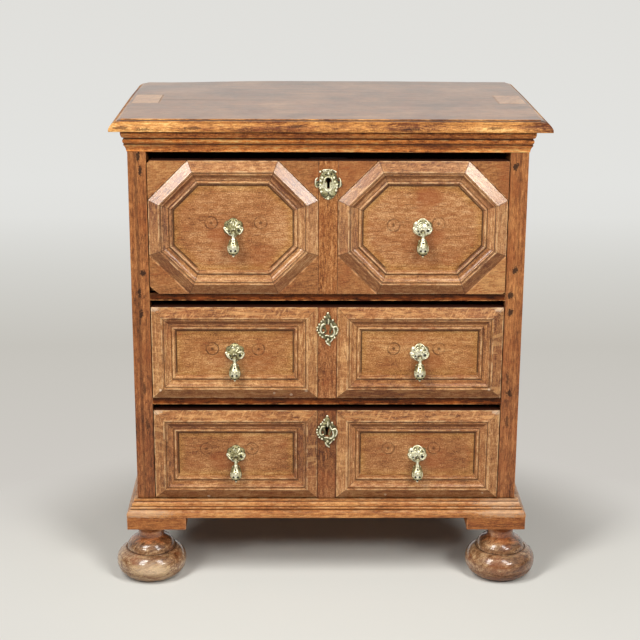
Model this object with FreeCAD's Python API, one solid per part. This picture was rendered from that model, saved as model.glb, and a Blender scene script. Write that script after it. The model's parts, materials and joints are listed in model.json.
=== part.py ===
import FreeCAD, Part
import os
from math import cos, hypot, pi, sin, tan
from FreeCAD import Vector

# A dwarf chest of three long drawers in oak, with mitred mouldings, brass drop handles and bun feet.
# Sizes are in millimetres. The carcass front is at y = 0 and faces -Y, and the floor is at z = 0.

# Carcass
carcass_width = 642.0
carcass_depth = 430.0
stile_width = 29.5
stile_depth = 62.0
bottom_rail_height = 30.0
drawer_rail_height = 11.5
top_rail_height = 36.9
end_rail_depth = 34.0
drawer_rail_depth = 55.0
tenon_length = 18.0
tenon_inset = 6.0
tenon_shoulder = 2.0
peg_radius = 3.2
peg_length = 24.0
peg_stand = 0.6

# Sides and back
side_rail_thickness = 22.0
side_top_rail_height = 62.0
side_middle_rail_height = 58.0
side_bottom_rail_height = 88.0
side_tenon_length = 15.0
side_tenon_inset = 7.0
side_panel_thickness = 8.0
side_panel_setback = 8.0
panel_groove = 7.0
back_thickness = 10.0
back_rebate = 12.0
back_board_count = 4

# Top
top_thickness = 18.3
top_side_overhang = 29.0
top_front_overhang = 29.0
top_back_overhang = 7.0
top_joint_y = 189.0
top_edge_width = 18.4
top_edge_lip = 4.0
top_edge_quirk = 1.7
top_edge_quirk_width = 0.5
top_edge_sag = 3.6
patch_length = 46.0
patch_depth = 92.0
patch_thickness = 4.0
patch_y = 156.0

# Cornice and base mouldings
cornice_foot_reach = 1.0
cornice_cove_height = 11.5
cornice_cove_sag = 1.2
cornice_bead_height = 6.6
cornice_bead_reach = 5.6
cornice_bead_sag = 1.3
cornice_band_height = 12.9
cornice_reach = 9.3
cornice_band_sag = 0.5
cornice_quirk_height = 2.5
cornice_quirk_depth = 1.0
base_reach = 18.0
base_lip = 3.0
base_ovolo_height = 9.3
base_ovolo_reach = 12.5
base_ovolo_sag = 2.2
base_bead_height = 3.8
base_bead_reach = 10.6
base_bead_sag = 1.2
base_reed_height = 7.0
base_reed_reach = 6.6
base_reed_sag = 1.0
base_fillet_reach = 6.0
base_quirk_height = 1.0
base_quirk_depth = 1.1

# Feet
foot_height = 96.0
foot_radius = 60.0
foot_belly_height = 29.5
foot_base_radius = 30.0
foot_groove_radius = 42.7
foot_groove_height = 51.2
foot_groove_depth = 1.2
foot_lower_sag = 8.8
foot_upper_sag = 4.0
foot_shoulder_radius = 33.0
foot_shoulder_height = 66.5
foot_shoulder_sag = 1.7
foot_neck_radius = 22.6
foot_neck_height = 73.5
foot_neck_sag = 0.6
foot_collar_radius = 30.0
foot_collar_sag = 3.2
foot_spigot_radius = 12.5
block_height = 22.0
block_width = 100.0
foot_from_edge = 37.0

# Drawers, from the top one down
top_drawer_height = 220.5
top_drawer_gap = 13.0
middle_drawer_height = 157.5
middle_drawer_gap = 10.7
bottom_drawer_height = 158.0
bottom_drawer_gap = 9.7
drawer_floor_gap = 0.8
drawer_end_gap = 1.5
drawer_back_gap = 22.0
drawer_front_thickness = 18.0
drawer_side_thickness = 15.0
drawer_side_lap = 8.0
drawer_side_drop = 7.0
drawer_back_thickness = 12.0
drawer_bottom_thickness = 8.0
drawer_bottom_lift = 2.0
drawer_bottom_lap = 9.0
runner_height = 13.0
runner_width = 9.0
runner_lift = 62.0
runner_start = 24.0
running_gap = 0.3
groove_play = 1.2

# Applied work on the drawer fronts
strip_width = 32.0
strip_thickness = 3.2
octagon_leg = 64.5
moulding_width = 40.0
moulding_edge = 2.0
ridge_height = 9.5
ridge_from_edge = 17.5
ridge_step = 1.4
ridge_fillet = 1.8
ridge_quirk = 1.0
cove_height = 3.4
cove_sag = 1.3
bead_width = 5.6
bead_height = 2.3
bead_foot = 2.0
bead_margin = 1.6

# Drop handles
plate_radius = 11.5
plate_dome = 6.5
plate_lobe_radius = 7.0
plate_lobe_stand = 4.2
plate_lobe_spread = 9.6
plate_lobe_angles = (90, 30, 150, -25, 205)
plate_flank_radius = 6.0
plate_flank_spread = 5.5
plate_flank_drop = 7.0
plate_tip_radius = 5.0
wire_radius = 0.9
wire_spread = 3.1
wire_bend = 1.6
wire_tail = 12.0
wire_gap = 0.3
pivot_reach = 14.0
pivot_drop = 5.0
drop_length = 39.5
drop_radius = 9.8
drop_belly = 26.0
drop_neck_radius = 3.4
drop_neck = 8.5
drop_flare_sag = 1.3
drop_swell_sag = 2.4
drop_foot_radius = 2.4
drop_foot_height = 2.2
drop_foot_sag = 0.5
drop_tip_radius = 1.2
drop_flat = 5.5
lug_width = 3.6
lug_radius = 2.6

# Escutcheons and locks
escutcheon_thickness = 2.2
escutcheon_from_top = 37.5
oval_width = 31.0
oval_height = 50.0
oval_wing_radius = 5.0
oval_wing_spread = 17.0
scroll_height = 58.0
scroll_width = 36.0
scroll_band = 5.5
pin_radius = 1.4
pin_stand = 1.0
pin_length = 12.0
pin_edge = 5.0
key_radius = 4.4
key_slot_width = 4.4
key_slot_length = 13.0
key_lift = 6.0
lock_width = 60.0
lock_height = 58.0
lock_thickness = 12.0
lock_drop = 0.5
bolt_width = 20.0
bolt_thickness = 5.0
bolt_length = 25.0
bolt_setback = 3.5
bolt_throw = 18.0
bolt_gap = 0.4
bolt_room = 1.5

# Heights from the floor up
cornice_height = cornice_cove_height + cornice_bead_height + cornice_band_height + 2 * cornice_quirk_height
carcass_bottom = foot_height + block_height
bottom_rail_top = carcass_bottom + bottom_rail_height
bottom_drawer_z = bottom_rail_top + drawer_floor_gap
lower_rail_z = bottom_drawer_z + bottom_drawer_height + bottom_drawer_gap
middle_drawer_z = lower_rail_z + drawer_rail_height + drawer_floor_gap
upper_rail_z = middle_drawer_z + middle_drawer_height + middle_drawer_gap
top_drawer_z = upper_rail_z + drawer_rail_height + drawer_floor_gap
top_rail_z = top_drawer_z + top_drawer_height + top_drawer_gap
carcass_top = top_rail_z + top_rail_height

# Widths and depths
half_carcass = carcass_width / 2
half_opening = half_carcass - stile_width
half_drawer = half_opening - drawer_end_gap
field_width = half_drawer - strip_width / 2
half_top = half_carcass + top_side_overhang
top_back_y = carcass_depth + top_back_overhang
block_edge_x = half_carcass + base_reach
foot_x = block_edge_x - foot_from_edge
front_foot_y = foot_from_edge - base_reach
rear_foot_y = top_back_y - foot_radius
back_inside_y = carcass_depth - back_thickness
drawer_depth = back_inside_y - drawer_back_gap

# The origin is under the middle of the whole chest, from the front feet to the back of the top.
front_reach_y = min(front_foot_y - foot_radius, -top_front_overhang)
to_origin = Vector(0, -(front_reach_y + top_back_y) / 2, 0)

front_way = Vector(0, -1, 0)
right_way = Vector(1, 0, 0)
back_way = Vector(0, 1, 0)
up_way = Vector(0, 0, 1)


def box(x0, x1, y0, y1, z0, z1):
    return Part.makeBox(x1 - x0, y1 - y0, z1 - z0, Vector(x0, y0, z0))


def mirrored(shape):
    return shape.mirror(Vector(0, 0, 0), right_way)


def both_sides(shape):
    return [mirrored(shape), shape]


def cut_all(shape, tools):
    for tool in tools:
        shape = shape.cut(tool)
    return shape


def fuse_all(shapes):
    return shapes[0].multiFuse(shapes[1:]).removeSplitter()


# A closed face from (across, up) points. A third number makes an arc, whose middle stands that far to the
# left of the straight line from the point before.
def outline(place, start, *moves):
    edges = []
    here = start
    for move in moves + (start,):
        there = move[:2]
        du, dv = there[0] - here[0], there[1] - here[1]
        long = hypot(du, dv)
        if len(move) == 3:
            lean = move[2] / long
            middle = place((here[0] + there[0]) / 2 - lean * dv, (here[1] + there[1]) / 2 + lean * du)
            edges.append(Part.Arc(place(*here), middle, place(*there)).toShape())
        elif long > 0:
            edges.append(Part.LineSegment(place(*here), place(*there)).toShape())
        here = there
    return Part.Face(Part.Wire(edges))


# One length of moulding. The section runs across and rises from the line between two points, and each end is
# mitred: a skew of 1 shortens the far edge by the section's width, and -1 lengthens it.
def moulding_length(section, width, height, start, end, across, rise, start_skew, end_skew):
    along = (end - start).normalize()
    spare = max(0.0, -start_skew, -end_skew) * width
    first = start - along * spare

    def place(u, v):
        return first + across * u + rise * v

    length = (end - start).Length + 2 * spare
    bar = outline(place, *section).extrude(along * length)
    far = across * width
    corners = [start, end, end + far - along * (end_skew * width), start + far + along * (start_skew * width)]
    trim = Part.Face(Part.makePolygon(corners + corners[:1])).extrude(rise * height)
    return bar.common(trim)


# A ring of mitred moulding round a flat polygon of (x, z) corners, taken clockwise as seen from the front.
def moulding_ring(corners):
    points = [Vector(x, 0, z) for x, z in corners]
    count = len(points)
    pieces = []
    for i in range(count):
        before, start, end, after = (points[(i + k) % count] for k in (-1, 0, 1, 2))
        along = (end - start).normalize()
        start_skew, end_skew = (tan(along.getAngle(way) / 2) for way in (start - before, after - end))
        inward = Vector(along.z, 0, -along.x)
        pieces.append(moulding_length(drawer_section(), moulding_width, ridge_height, start, end, inward,
                                      front_way, start_skew, end_skew))
    return pieces


# Outer slope up to a ridge, two small steps, a cove and a bead beside the panel
def drawer_section():
    ridge_end = ridge_from_edge + ridge_quirk / 2
    step_start = ridge_end + ridge_fillet
    step_end = step_start + ridge_quirk
    first_step = ridge_height - ridge_step
    low_step = first_step - ridge_step
    cove_top = low_step + ridge_quirk
    bead_end = moulding_width - bead_margin
    bead_start = bead_end - bead_width
    return ((0, 0), (0, moulding_edge), (ridge_from_edge, ridge_height), (ridge_end, first_step),
            (step_start, first_step), (step_start, low_step), (step_end, low_step), (step_end, cove_top),
            (step_end + ridge_fillet, cove_top), (bead_start - ridge_quirk, cove_height, -cove_sag),
            (bead_start, cove_height), (bead_start, bead_foot), (bead_end, bead_foot, bead_height),
            (moulding_width, bead_foot), (moulding_width, 0))


# A cove under a bead under a broad upper band, with a quirk between each
def cornice_section():
    inner = cornice_bead_reach - cornice_quirk_depth
    band_reach = cornice_bead_reach + cornice_quirk_depth
    bead_z = cornice_cove_height + cornice_quirk_height
    bead_top = bead_z + cornice_bead_height
    band_z = bead_top + cornice_quirk_height
    return ((0, 0), (cornice_foot_reach, 0), (cornice_bead_reach, cornice_cove_height, cornice_cove_sag),
            (inner, cornice_cove_height), (inner, bead_z), (cornice_bead_reach, bead_top, -cornice_bead_sag),
            (inner, bead_top), (inner, band_z), (band_reach, band_z),
            (cornice_reach, band_z + cornice_band_height / 2, -cornice_band_sag),
            (cornice_reach, cornice_height), (0, cornice_height))


# A broad ovolo under a bead, a reed and a fillet, with a quirk between each
def base_section():
    ovolo_top = base_lip + base_ovolo_height
    bead_z = ovolo_top + base_quirk_height
    bead_top = bead_z + base_bead_height
    reed_z = bead_top + base_quirk_height
    reed_top = reed_z + base_reed_height
    fillet_z = reed_top + base_quirk_height
    bead_inner = base_ovolo_reach - base_quirk_depth
    reed_inner = base_bead_reach - base_quirk_depth
    fillet_inner = base_reed_reach - base_quirk_depth
    return ((0, 0), (base_reach, 0), (base_reach, base_lip), (base_ovolo_reach, ovolo_top, -base_ovolo_sag),
            (bead_inner, ovolo_top), (bead_inner, bead_z), (base_bead_reach, bead_top, -base_bead_sag),
            (reed_inner, bead_top), (reed_inner, reed_z), (base_reed_reach, reed_top, -base_reed_sag),
            (fillet_inner, reed_top), (fillet_inner, fillet_z), (base_fillet_reach, fillet_z),
            (base_fillet_reach, bottom_rail_height), (0, bottom_rail_height))


# Mitred mouldings on the carcass: one across the front and one back along each side
def carcass_moulding(section, reach, height, z):
    left = Vector(-half_carcass, 0, z)
    right = Vector(half_carcass, 0, z)
    back = Vector(half_carcass, carcass_depth, z)
    front = moulding_length(section, reach, height, left, right, front_way, up_way, -1, -1)
    side = moulding_length(section, reach, height, right, back, right_way, up_way, -1, 0)
    return front, both_sides(side)


# Front rails, with a tenon at each end
def front_rail(z, height, depth):
    rail = box(-half_opening, half_opening, 0, depth, z, z + height)
    reach = half_opening + tenon_length
    tenon = box(-reach, reach, tenon_inset, depth - tenon_inset,
                z + tenon_shoulder, z + height - tenon_shoulder)
    return rail.fuse(tenon).removeSplitter()


# Pegs that lock the drawer rails' tenons, seen on the front of the stiles
def front_pegs():
    pegs = []
    for z in (lower_rail_z, upper_rail_z):
        place = Vector(half_opening + tenon_length / 2, -peg_stand, z + drawer_rail_height / 2)
        pegs += both_sides(Part.makeCylinder(peg_radius, peg_length + peg_stand, place, back_way))
    return pegs


side_rail_spans = ((carcass_bottom, side_bottom_rail_height),
                   ((carcass_bottom + carcass_top - side_middle_rail_height) / 2, side_middle_rail_height),
                   (carcass_top - side_top_rail_height, side_top_rail_height))


# Rails and panels of the right-hand side
def side_frame():
    inner = half_carcass - side_rail_thickness
    front = stile_depth
    back = carcass_depth - stile_depth
    rails = []
    for z, height in side_rail_spans:
        rail = box(inner, half_carcass, front, back, z, z + height)
        tenon = box(inner + side_tenon_inset, half_carcass - side_tenon_inset, front - side_tenon_length,
                    back + side_tenon_length, z + side_tenon_inset, z + height - side_tenon_inset)
        rails.append(rail.fuse(tenon).removeSplitter())
    face = half_carcass - side_panel_setback
    panels = []
    for (low_z, low_height), (high_z, _) in zip(side_rail_spans, side_rail_spans[1:]):
        panels.append(box(face - side_panel_thickness, face, front - panel_groove, back + panel_groove,
                          low_z + low_height - panel_groove, high_z + panel_groove))
    return [cut_all(rail, panels) for rail in rails], panels


# Pegs on the right-hand side, clear of the cornice and the base moulding
def side_pegs():
    bottom, middle, top = side_rail_spans
    heights = [(bottom_rail_top + bottom[0] + bottom[1]) / 2, middle[0] + middle[1] / 2,
               (top[0] + carcass_top - cornice_height) / 2]
    pegs = []
    for z in heights:
        for y in (stile_depth - side_tenon_length / 2, carcass_depth - stile_depth + side_tenon_length / 2):
            place = Vector(half_carcass + peg_stand, y, z)
            pegs.append(Part.makeCylinder(peg_radius, side_rail_thickness + peg_stand, place, -right_way))
    return pegs


def build_back():
    reach = half_opening + back_rebate
    tall = (carcass_top - carcass_bottom) / back_board_count
    seams = [carcass_bottom + i * tall for i in range(back_board_count)]
    return [box(-reach, reach, back_inside_y, carcass_depth, seam, seam + tall) for seam in seams]


# The top's two boards with a thumb moulding along the front and both ends, and two let-in patches
def build_top():
    front_y = -top_front_overhang
    high = carcass_top + top_thickness
    quirk_z = high - top_edge_quirk
    thumb_z = carcass_top + top_edge_lip
    thumb_end = top_edge_width - top_edge_quirk_width

    def front_place(y, z):
        return Vector(-half_top, front_y + y, z)

    def side_place(x, z):
        return Vector(x, front_y, z)

    back = top_back_y - front_y
    front_shape = outline(front_place, (0, carcass_top), (0, thumb_z), (thumb_end, quirk_z, top_edge_sag),
                          (top_edge_width, high), (back, high), (back, carcass_top))
    side_shape = outline(side_place, (-half_top, carcass_top), (-half_top, thumb_z),
                         (thumb_end - half_top, quirk_z, top_edge_sag), (top_edge_width - half_top, high),
                         (half_top - top_edge_width, high), (half_top - thumb_end, quirk_z),
                         (half_top, thumb_z, top_edge_sag), (half_top, carcass_top))
    slab = front_shape.extrude(right_way * (2 * half_top))
    slab = slab.common(side_shape.extrude(back_way * back))
    edge = half_top - top_edge_width
    patch = box(edge - patch_length, edge, patch_y, patch_y + patch_depth, high - patch_thickness, high)
    patches = both_sides(patch)
    slab = cut_all(slab, patches)
    front_board = slab.common(box(-half_top, half_top, front_y, top_joint_y, carcass_top, high))
    rear_board = slab.common(box(-half_top, half_top, top_joint_y, top_back_y, carcass_top, high))
    return [front_board, rear_board], patches


# Flattened bun with an incised groove, a sloping shoulder, a neck and a spigot that fills the block's bore
def bun_foot(x, y):
    groove_r = foot_groove_radius
    groove_z = foot_groove_height
    cut = foot_groove_depth

    def place(r, z):
        return Vector(x + r, y, z)

    face = outline(place, (0, 0), (foot_base_radius, 0), (foot_radius, foot_belly_height, -foot_lower_sag),
                   (groove_r + cut, groove_z - cut / 2, -foot_upper_sag),
                   (groove_r - cut / 2, groove_z - cut), (groove_r - cut, groove_z + cut / 2),
                   (foot_shoulder_radius, foot_shoulder_height, -foot_shoulder_sag),
                   (foot_neck_radius, foot_neck_height, foot_neck_sag),
                   (foot_collar_radius, foot_height, foot_collar_sag), (foot_spigot_radius, foot_height),
                   (foot_spigot_radius, carcass_bottom), (0, carcass_bottom))
    return face.revolve(Vector(x, y, 0), up_way, 360)


def build_feet():
    front_y = -base_reach
    blocks = []
    buns = {}
    for where, low_y, foot_y in (("front", front_y, front_foot_y),
                                 ("rear", carcass_depth - block_width, rear_foot_y)):
        block = box(block_edge_x - block_width, block_edge_x, low_y, low_y + block_width,
                    foot_height, carcass_bottom)
        bore_start = Vector(foot_x, foot_y, foot_height)
        bore = Part.makeCylinder(foot_spigot_radius, block_height, bore_start, up_way)
        blocks += both_sides(block.cut(bore))
        buns[where] = both_sides(bun_foot(foot_x, foot_y))
    return blocks, buns


# A runner for each end of each drawer, nailed to the stiles
def runner(drawer_z):
    z = drawer_z + runner_lift
    return box(half_opening - runner_width, half_opening, runner_start, back_inside_y, z, z + runner_height)


# Corners of the left-hand field of a drawer front, clockwise as seen from the front
def octagon_corners(z, height):
    left = -half_drawer
    right = left + field_width
    top = z + height
    leg = octagon_leg
    return [(left, z + leg), (left, top - leg), (left + leg, top), (right - leg, top), (right, top - leg),
            (right, z + leg), (right - leg, z), (left + leg, z)]


def rectangle_corners(z, height):
    left = -half_drawer
    right = left + field_width
    return [(left, z), (left, z + height), (right, z + height), (right, z)]


# Flat corner pieces outside the left-hand octagon
def spandrels(z, height):
    left = -half_drawer
    pieces = []
    for x, inward_x in ((left, 1), (left + field_width, -1)):
        for corner_z, inward_z in ((z, 1), (z + height, -1)):
            corner = Vector(x, 0, corner_z)
            ends = [corner + right_way * (inward_x * octagon_leg), corner + up_way * (inward_z * octagon_leg)]
            triangle = Part.Face(Part.makePolygon([corner] + ends + [corner]))
            pieces.append(triangle.extrude(front_way * strip_thickness))
    return pieces


# A cast plate: a central dome, lobes round it and a small leaf below, flat at the back
def handle_plate(x, z):
    def cap(radius, stand, across, up):
        ball = (radius * radius + stand * stand) / (2 * stand)
        return Part.makeSphere(ball, Vector(x + across, ball - stand, z + up))

    caps = [cap(plate_radius, plate_dome, 0, 0)]
    for angle in plate_lobe_angles:
        turn = angle * pi / 180
        caps.append(cap(plate_lobe_radius, plate_lobe_stand, plate_lobe_spread * cos(turn),
                        plate_lobe_spread * sin(turn)))
    for side in (-1, 1):
        caps.append(cap(plate_flank_radius, plate_lobe_stand, side * plate_flank_spread, -plate_flank_drop))
    tip_z = plate_tip_radius - plate_radius - plate_lobe_radius / 2
    caps.append(cap(plate_tip_radius, plate_lobe_stand, 0, tip_z))
    reach = plate_lobe_spread + 2 * plate_lobe_radius
    ahead = box(x - reach, x + reach, -2 * plate_dome, 0, z - reach, z + reach)
    return fuse_all([shape.common(ahead) for shape in caps])


# A hairpin of wire: its nose carries the drop, and its tails are bent over inside the drawer
def handle_wire(x, z):
    nose_y = -pivot_reach
    inside_y = drawer_front_thickness + wire_radius
    bent = wire_spread + wire_bend
    tail = bent + wire_tail
    cut_corner = wire_bend * (1 - cos(pi / 4))

    def place(across, y):
        return Vector(x + across, y, z)

    def line(start, end):
        return Part.LineSegment(place(*start), place(*end)).toShape()

    def bend(start, through, end):
        return Part.Arc(place(*start), place(*through), place(*end)).toShape()

    def leg(side):
        out = side * wire_spread
        inside = (side * bent, inside_y)
        leg_end = (out, inside_y - wire_bend)
        leg_start = (out, nose_y + wire_bend)
        nose_end = (side * (wire_spread - wire_bend), nose_y)
        return [line((side * tail, inside_y), inside),
                bend(inside, (out + side * cut_corner, inside_y - cut_corner), leg_end),
                line(leg_end, leg_start),
                bend(leg_start, (out - side * cut_corner, nose_y + cut_corner), nose_end)]

    nose = line((wire_bend - wire_spread, nose_y), (wire_spread - wire_bend, nose_y))
    path = Part.Wire(Part.__sortEdges__(leg(-1) + [nose] + leg(1)))
    ring = Part.Wire(Part.makeCircle(wire_radius, place(-tail, inside_y), right_way))
    return path.makePipeShell([ring], True, False)


# A pear-shaped drop on a lug, flattened behind
def handle_drop(x, z):
    y = -pivot_reach

    def place(r, up):
        return Vector(x + r, y, z + up)

    lug_root = -2 * lug_radius
    face = outline(place, (0, lug_root), (lug_radius, lug_root), (drop_neck_radius, -drop_neck),
                   (drop_radius, -drop_belly, drop_flare_sag),
                   (drop_foot_radius, drop_foot_height - drop_length, drop_swell_sag),
                   (drop_tip_radius, -drop_length, drop_foot_sag), (0, -drop_length))
    pear = face.revolve(Vector(x, y, z), up_way, 360)
    reach = 2 * drop_radius
    pear = pear.cut(box(x - reach, x + reach, y + drop_flat, y + reach, z - drop_length, z))
    half = lug_width / 2
    lug = box(x - half, x + half, y - lug_radius, y + lug_radius, z + lug_root - half, z)
    eye = Part.makeCylinder(lug_radius, lug_width, Vector(x - half, y, z), right_way)
    bore = Part.makeCylinder(wire_radius + wire_gap, lug_width, Vector(x - half, y, z), right_way)
    return fuse_all([pear, lug, eye]).cut(bore)


# A keyhole whose round part stands above the middle of its plate
def keyhole(z, y0, y1):
    round_z = z + key_lift
    round_part = Part.makeCylinder(key_radius, y1 - y0, Vector(0, y0, round_z), back_way)
    slot = box(-key_slot_width / 2, key_slot_width / 2, y0, y1, round_z - key_slot_length, round_z)
    return round_part.fuse(slot).removeSplitter()


def plate_disc(x, z, radius):
    return Part.makeCylinder(radius, escutcheon_thickness, Vector(x, -strip_thickness, z), front_way)


def pins(places):
    head_y = -strip_thickness - escutcheon_thickness - pin_stand
    return [Part.makeCylinder(pin_radius, pin_length, Vector(x, head_y, z), back_way) for x, z in places]


# An oval plate with small wings, and the places of its pins
def oval_escutcheon(z):
    half_h = oval_height / 2
    middle = Vector(0, -strip_thickness, z)
    ellipse = Part.Ellipse(middle + up_way * half_h, middle + right_way * (oval_width / 2), middle)
    oval = Part.Face(Part.Wire(ellipse.toShape())).extrude(front_way * escutcheon_thickness)
    wings = [plate_disc(side * oval_wing_spread, z, oval_wing_radius) for side in (-1, 1)]
    pin_z = half_h - pin_edge
    return fuse_all([oval] + wings), [(0, z + pin_z), (0, z - pin_z)]


# An open plate, a ring round a window with a pointed leaf above and below, and the places of its pins
def scroll_escutcheon(z):
    outer = scroll_width / 2
    inner = outer - scroll_band
    leaf_tip = scroll_height / 2

    def leaf(way):
        def place(across, up):
            return Vector(across, -strip_thickness, z + way * up)

        shape = outline(place, (-scroll_band, inner), (-scroll_band, outer), (0, leaf_tip),
                        (scroll_band, outer), (scroll_band, inner))
        return shape.extrude(front_way * escutcheon_thickness)

    ring = plate_disc(0, z, outer).cut(plate_disc(0, z, inner))
    return fuse_all([ring, leaf(1), leaf(-1)]), [(0, z + outer), (0, z - outer)]


# A lock case on the inside of the front, and the bolt that rises from it
def build_lock(z, height, key_z):
    top = z + height - lock_drop
    half = lock_width / 2
    case_y = drawer_front_thickness
    case = box(-half, half, case_y, case_y + lock_thickness, z + height - lock_height, top)
    bolt = bolt_bar(top - bolt_length, top, 0)
    room = bolt_bar(top - bolt_length - bolt_gap, z + height, bolt_gap)
    key_end = case_y + bolt_setback + bolt_thickness
    return case.cut(room).cut(keyhole(key_z, case_y, key_end)), bolt


# A bar of the bolt's section, or a slot for it with a gap all round
def bolt_bar(low_z, high_z, gap):
    half = bolt_width / 2 + gap
    y = drawer_front_thickness + bolt_setback
    return box(-half, half, y - gap, y + bolt_thickness + gap, low_z, high_z)


# The mortise in the rail above that takes a thrown bolt
def bolt_mortise(z, height):
    thrown = z + height - lock_drop + bolt_throw
    return bolt_bar(z + height, thrown + bolt_room, bolt_gap)


# All the pieces of one drawer, by node name
def build_drawer(name, z, height, fields, has_lock):
    base_z = z + drawer_bottom_lift + drawer_bottom_thickness
    side_top = z + height - drawer_side_drop
    inside = half_drawer - drawer_side_thickness
    front = box(-half_drawer, half_drawer, 0, drawer_front_thickness, z, z + height)
    side = box(inside, half_drawer, drawer_front_thickness - drawer_side_lap, drawer_depth, base_z, side_top)
    bottom = box(-half_drawer, half_drawer, drawer_front_thickness - drawer_bottom_lap, drawer_depth,
                 z + drawer_bottom_lift, base_z)
    back = box(-inside, inside, drawer_depth - drawer_back_thickness, drawer_depth, base_z, side_top)
    front = cut_all(front, both_sides(side) + [bottom])
    runner_z = z + runner_lift
    groove_floor = half_opening - runner_width - groove_play
    groove = box(groove_floor, half_drawer, 0, drawer_depth, runner_z - groove_play,
                 runner_z + runner_height + running_gap)
    sides = both_sides(side.cut(groove))
    ring = moulding_ring(fields(z, height))
    mouldings = ring + [mirrored(piece) for piece in ring]
    strip = box(-strip_width / 2, strip_width / 2, -strip_thickness, 0, z, z + height)
    key_z = z + height - escutcheon_from_top
    make_escutcheon = oval_escutcheon if fields is octagon_corners else scroll_escutcheon
    escutcheon, pin_places = make_escutcheon(key_z)
    escutcheon_pins = pins(pin_places)
    escutcheon, strip, front = (cut_all(shape, escutcheon_pins) for shape in (escutcheon, strip, front))
    pieces = {}
    if has_lock:
        hole = keyhole(key_z, -strip_thickness - escutcheon_thickness, drawer_front_thickness)
        escutcheon, strip, front = (shape.cut(hole) for shape in (escutcheon, strip, front))
        case, bolt = build_lock(z, height, key_z)
        pieces["lock"] = [case]
        pieces["bolt"] = [bolt]
    handle_x = strip_width / 2 + field_width / 2
    handle_z = z + height / 2
    pivot_z = handle_z - pivot_drop
    plate = handle_plate(handle_x, handle_z)
    wire = handle_wire(handle_x, pivot_z)
    wires = both_sides(wire)
    drop = handle_drop(handle_x, pivot_z)
    front = cut_all(front, wires)
    pieces.update({"front": [front], "sides": sides, "back": [back], "bottom": [bottom],
                   "mouldings": mouldings, "strip": [strip], "escutcheon": [escutcheon] + escutcheon_pins,
                   "plates": both_sides(plate.cut(wire)), "wires": wires,
                   "drop_left": [mirrored(drop)], "drop_right": [drop]})
    if fields is octagon_corners:
        left = spandrels(z, height)
        pieces["spandrels"] = left + [mirrored(piece) for piece in left]
    return {name + "_" + piece: solids for piece, solids in pieces.items()}


def build_carcass():
    rails = {"top_rail": front_rail(top_rail_z, top_rail_height, end_rail_depth),
             "upper_drawer_rail": front_rail(upper_rail_z, drawer_rail_height, drawer_rail_depth),
             "lower_drawer_rail": front_rail(lower_rail_z, drawer_rail_height, drawer_rail_depth),
             "bottom_rail": front_rail(carcass_bottom, bottom_rail_height, end_rail_depth)}
    side_rails, panels = side_frame()
    back_boards = build_back()
    face_pegs = front_pegs()
    end_pegs = side_pegs()
    front_stile = box(half_opening, half_carcass, 0, stile_depth, carcass_bottom, carcass_top)
    rear_stile = front_stile.translated(back_way * (carcass_depth - stile_depth))
    front_stile = cut_all(front_stile, list(rails.values()) + side_rails + panels + face_pegs + end_pegs)
    rear_stile = cut_all(rear_stile, side_rails + panels + back_boards + end_pegs)
    left_stile, right_stile = both_sides(front_stile)
    for rail, z, height in (("top_rail", top_drawer_z, top_drawer_height),
                            ("lower_drawer_rail", bottom_drawer_z, bottom_drawer_height)):
        rails[rail] = rails[rail].cut(bolt_mortise(z, height))
    nodes = {name: [cut_all(rail, face_pegs)] for name, rail in rails.items()}
    side_rails = [cut_all(rail, end_pegs) for rail in side_rails]
    nodes["front_stile_left"] = [left_stile]
    nodes["front_stile_right"] = [right_stile]
    nodes["rear_stiles"] = both_sides(rear_stile)
    nodes["side_rails"] = side_rails + [mirrored(rail) for rail in side_rails]
    nodes["side_panels"] = panels + [mirrored(panel) for panel in panels]
    nodes["frame_pegs"] = face_pegs + end_pegs + [mirrored(peg) for peg in end_pegs]
    nodes["back_boards"] = back_boards
    runners = [runner(z) for z in (bottom_drawer_z, middle_drawer_z, top_drawer_z)]
    nodes["drawer_runners"] = runners + [mirrored(piece) for piece in runners]
    nodes["top_boards"], nodes["top_patches"] = build_top()
    cornice_front, cornice_sides = carcass_moulding(cornice_section(), cornice_reach, cornice_height,
                                                    carcass_top - cornice_height)
    base_front, base_sides = carcass_moulding(base_section(), base_reach, bottom_rail_height, carcass_bottom)
    nodes["cornice_front"] = [cornice_front]
    nodes["cornice_sides"] = cornice_sides
    nodes["base_moulding_front"] = [base_front]
    nodes["base_moulding_sides"] = base_sides
    blocks, buns = build_feet()
    nodes["foot_blocks"] = blocks
    nodes["bun_feet_front"] = buns["front"]
    nodes["bun_feet_rear"] = buns["rear"]
    return nodes


def export(nodes):
    os.makedirs("parts", exist_ok=True)
    for name, solids in nodes.items():
        placed = [solid.translated(to_origin) for solid in solids]
        shape = placed[0] if len(placed) == 1 else Part.makeCompound(placed)
        shape.exportStep("parts/" + name + ".step")
        print(name, len(shape.Solids), "solids", "valid" if shape.isValid() else "NOT VALID")


all_nodes = build_carcass()
for name, z, height, fields, has_lock in (
        ("top_drawer", top_drawer_z, top_drawer_height, octagon_corners, True),
        ("middle_drawer", middle_drawer_z, middle_drawer_height, rectangle_corners, False),
        ("bottom_drawer", bottom_drawer_z, bottom_drawer_height, rectangle_corners, True)):
    all_nodes.update(build_drawer(name, z, height, fields, has_lock))
export(all_nodes)
print(len(all_nodes), "nodes")
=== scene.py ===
import json
import math
import bmesh
import bpy
from mathutils import Matrix, Vector, noise
from mathutils.bvhtree import BVHTree

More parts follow.
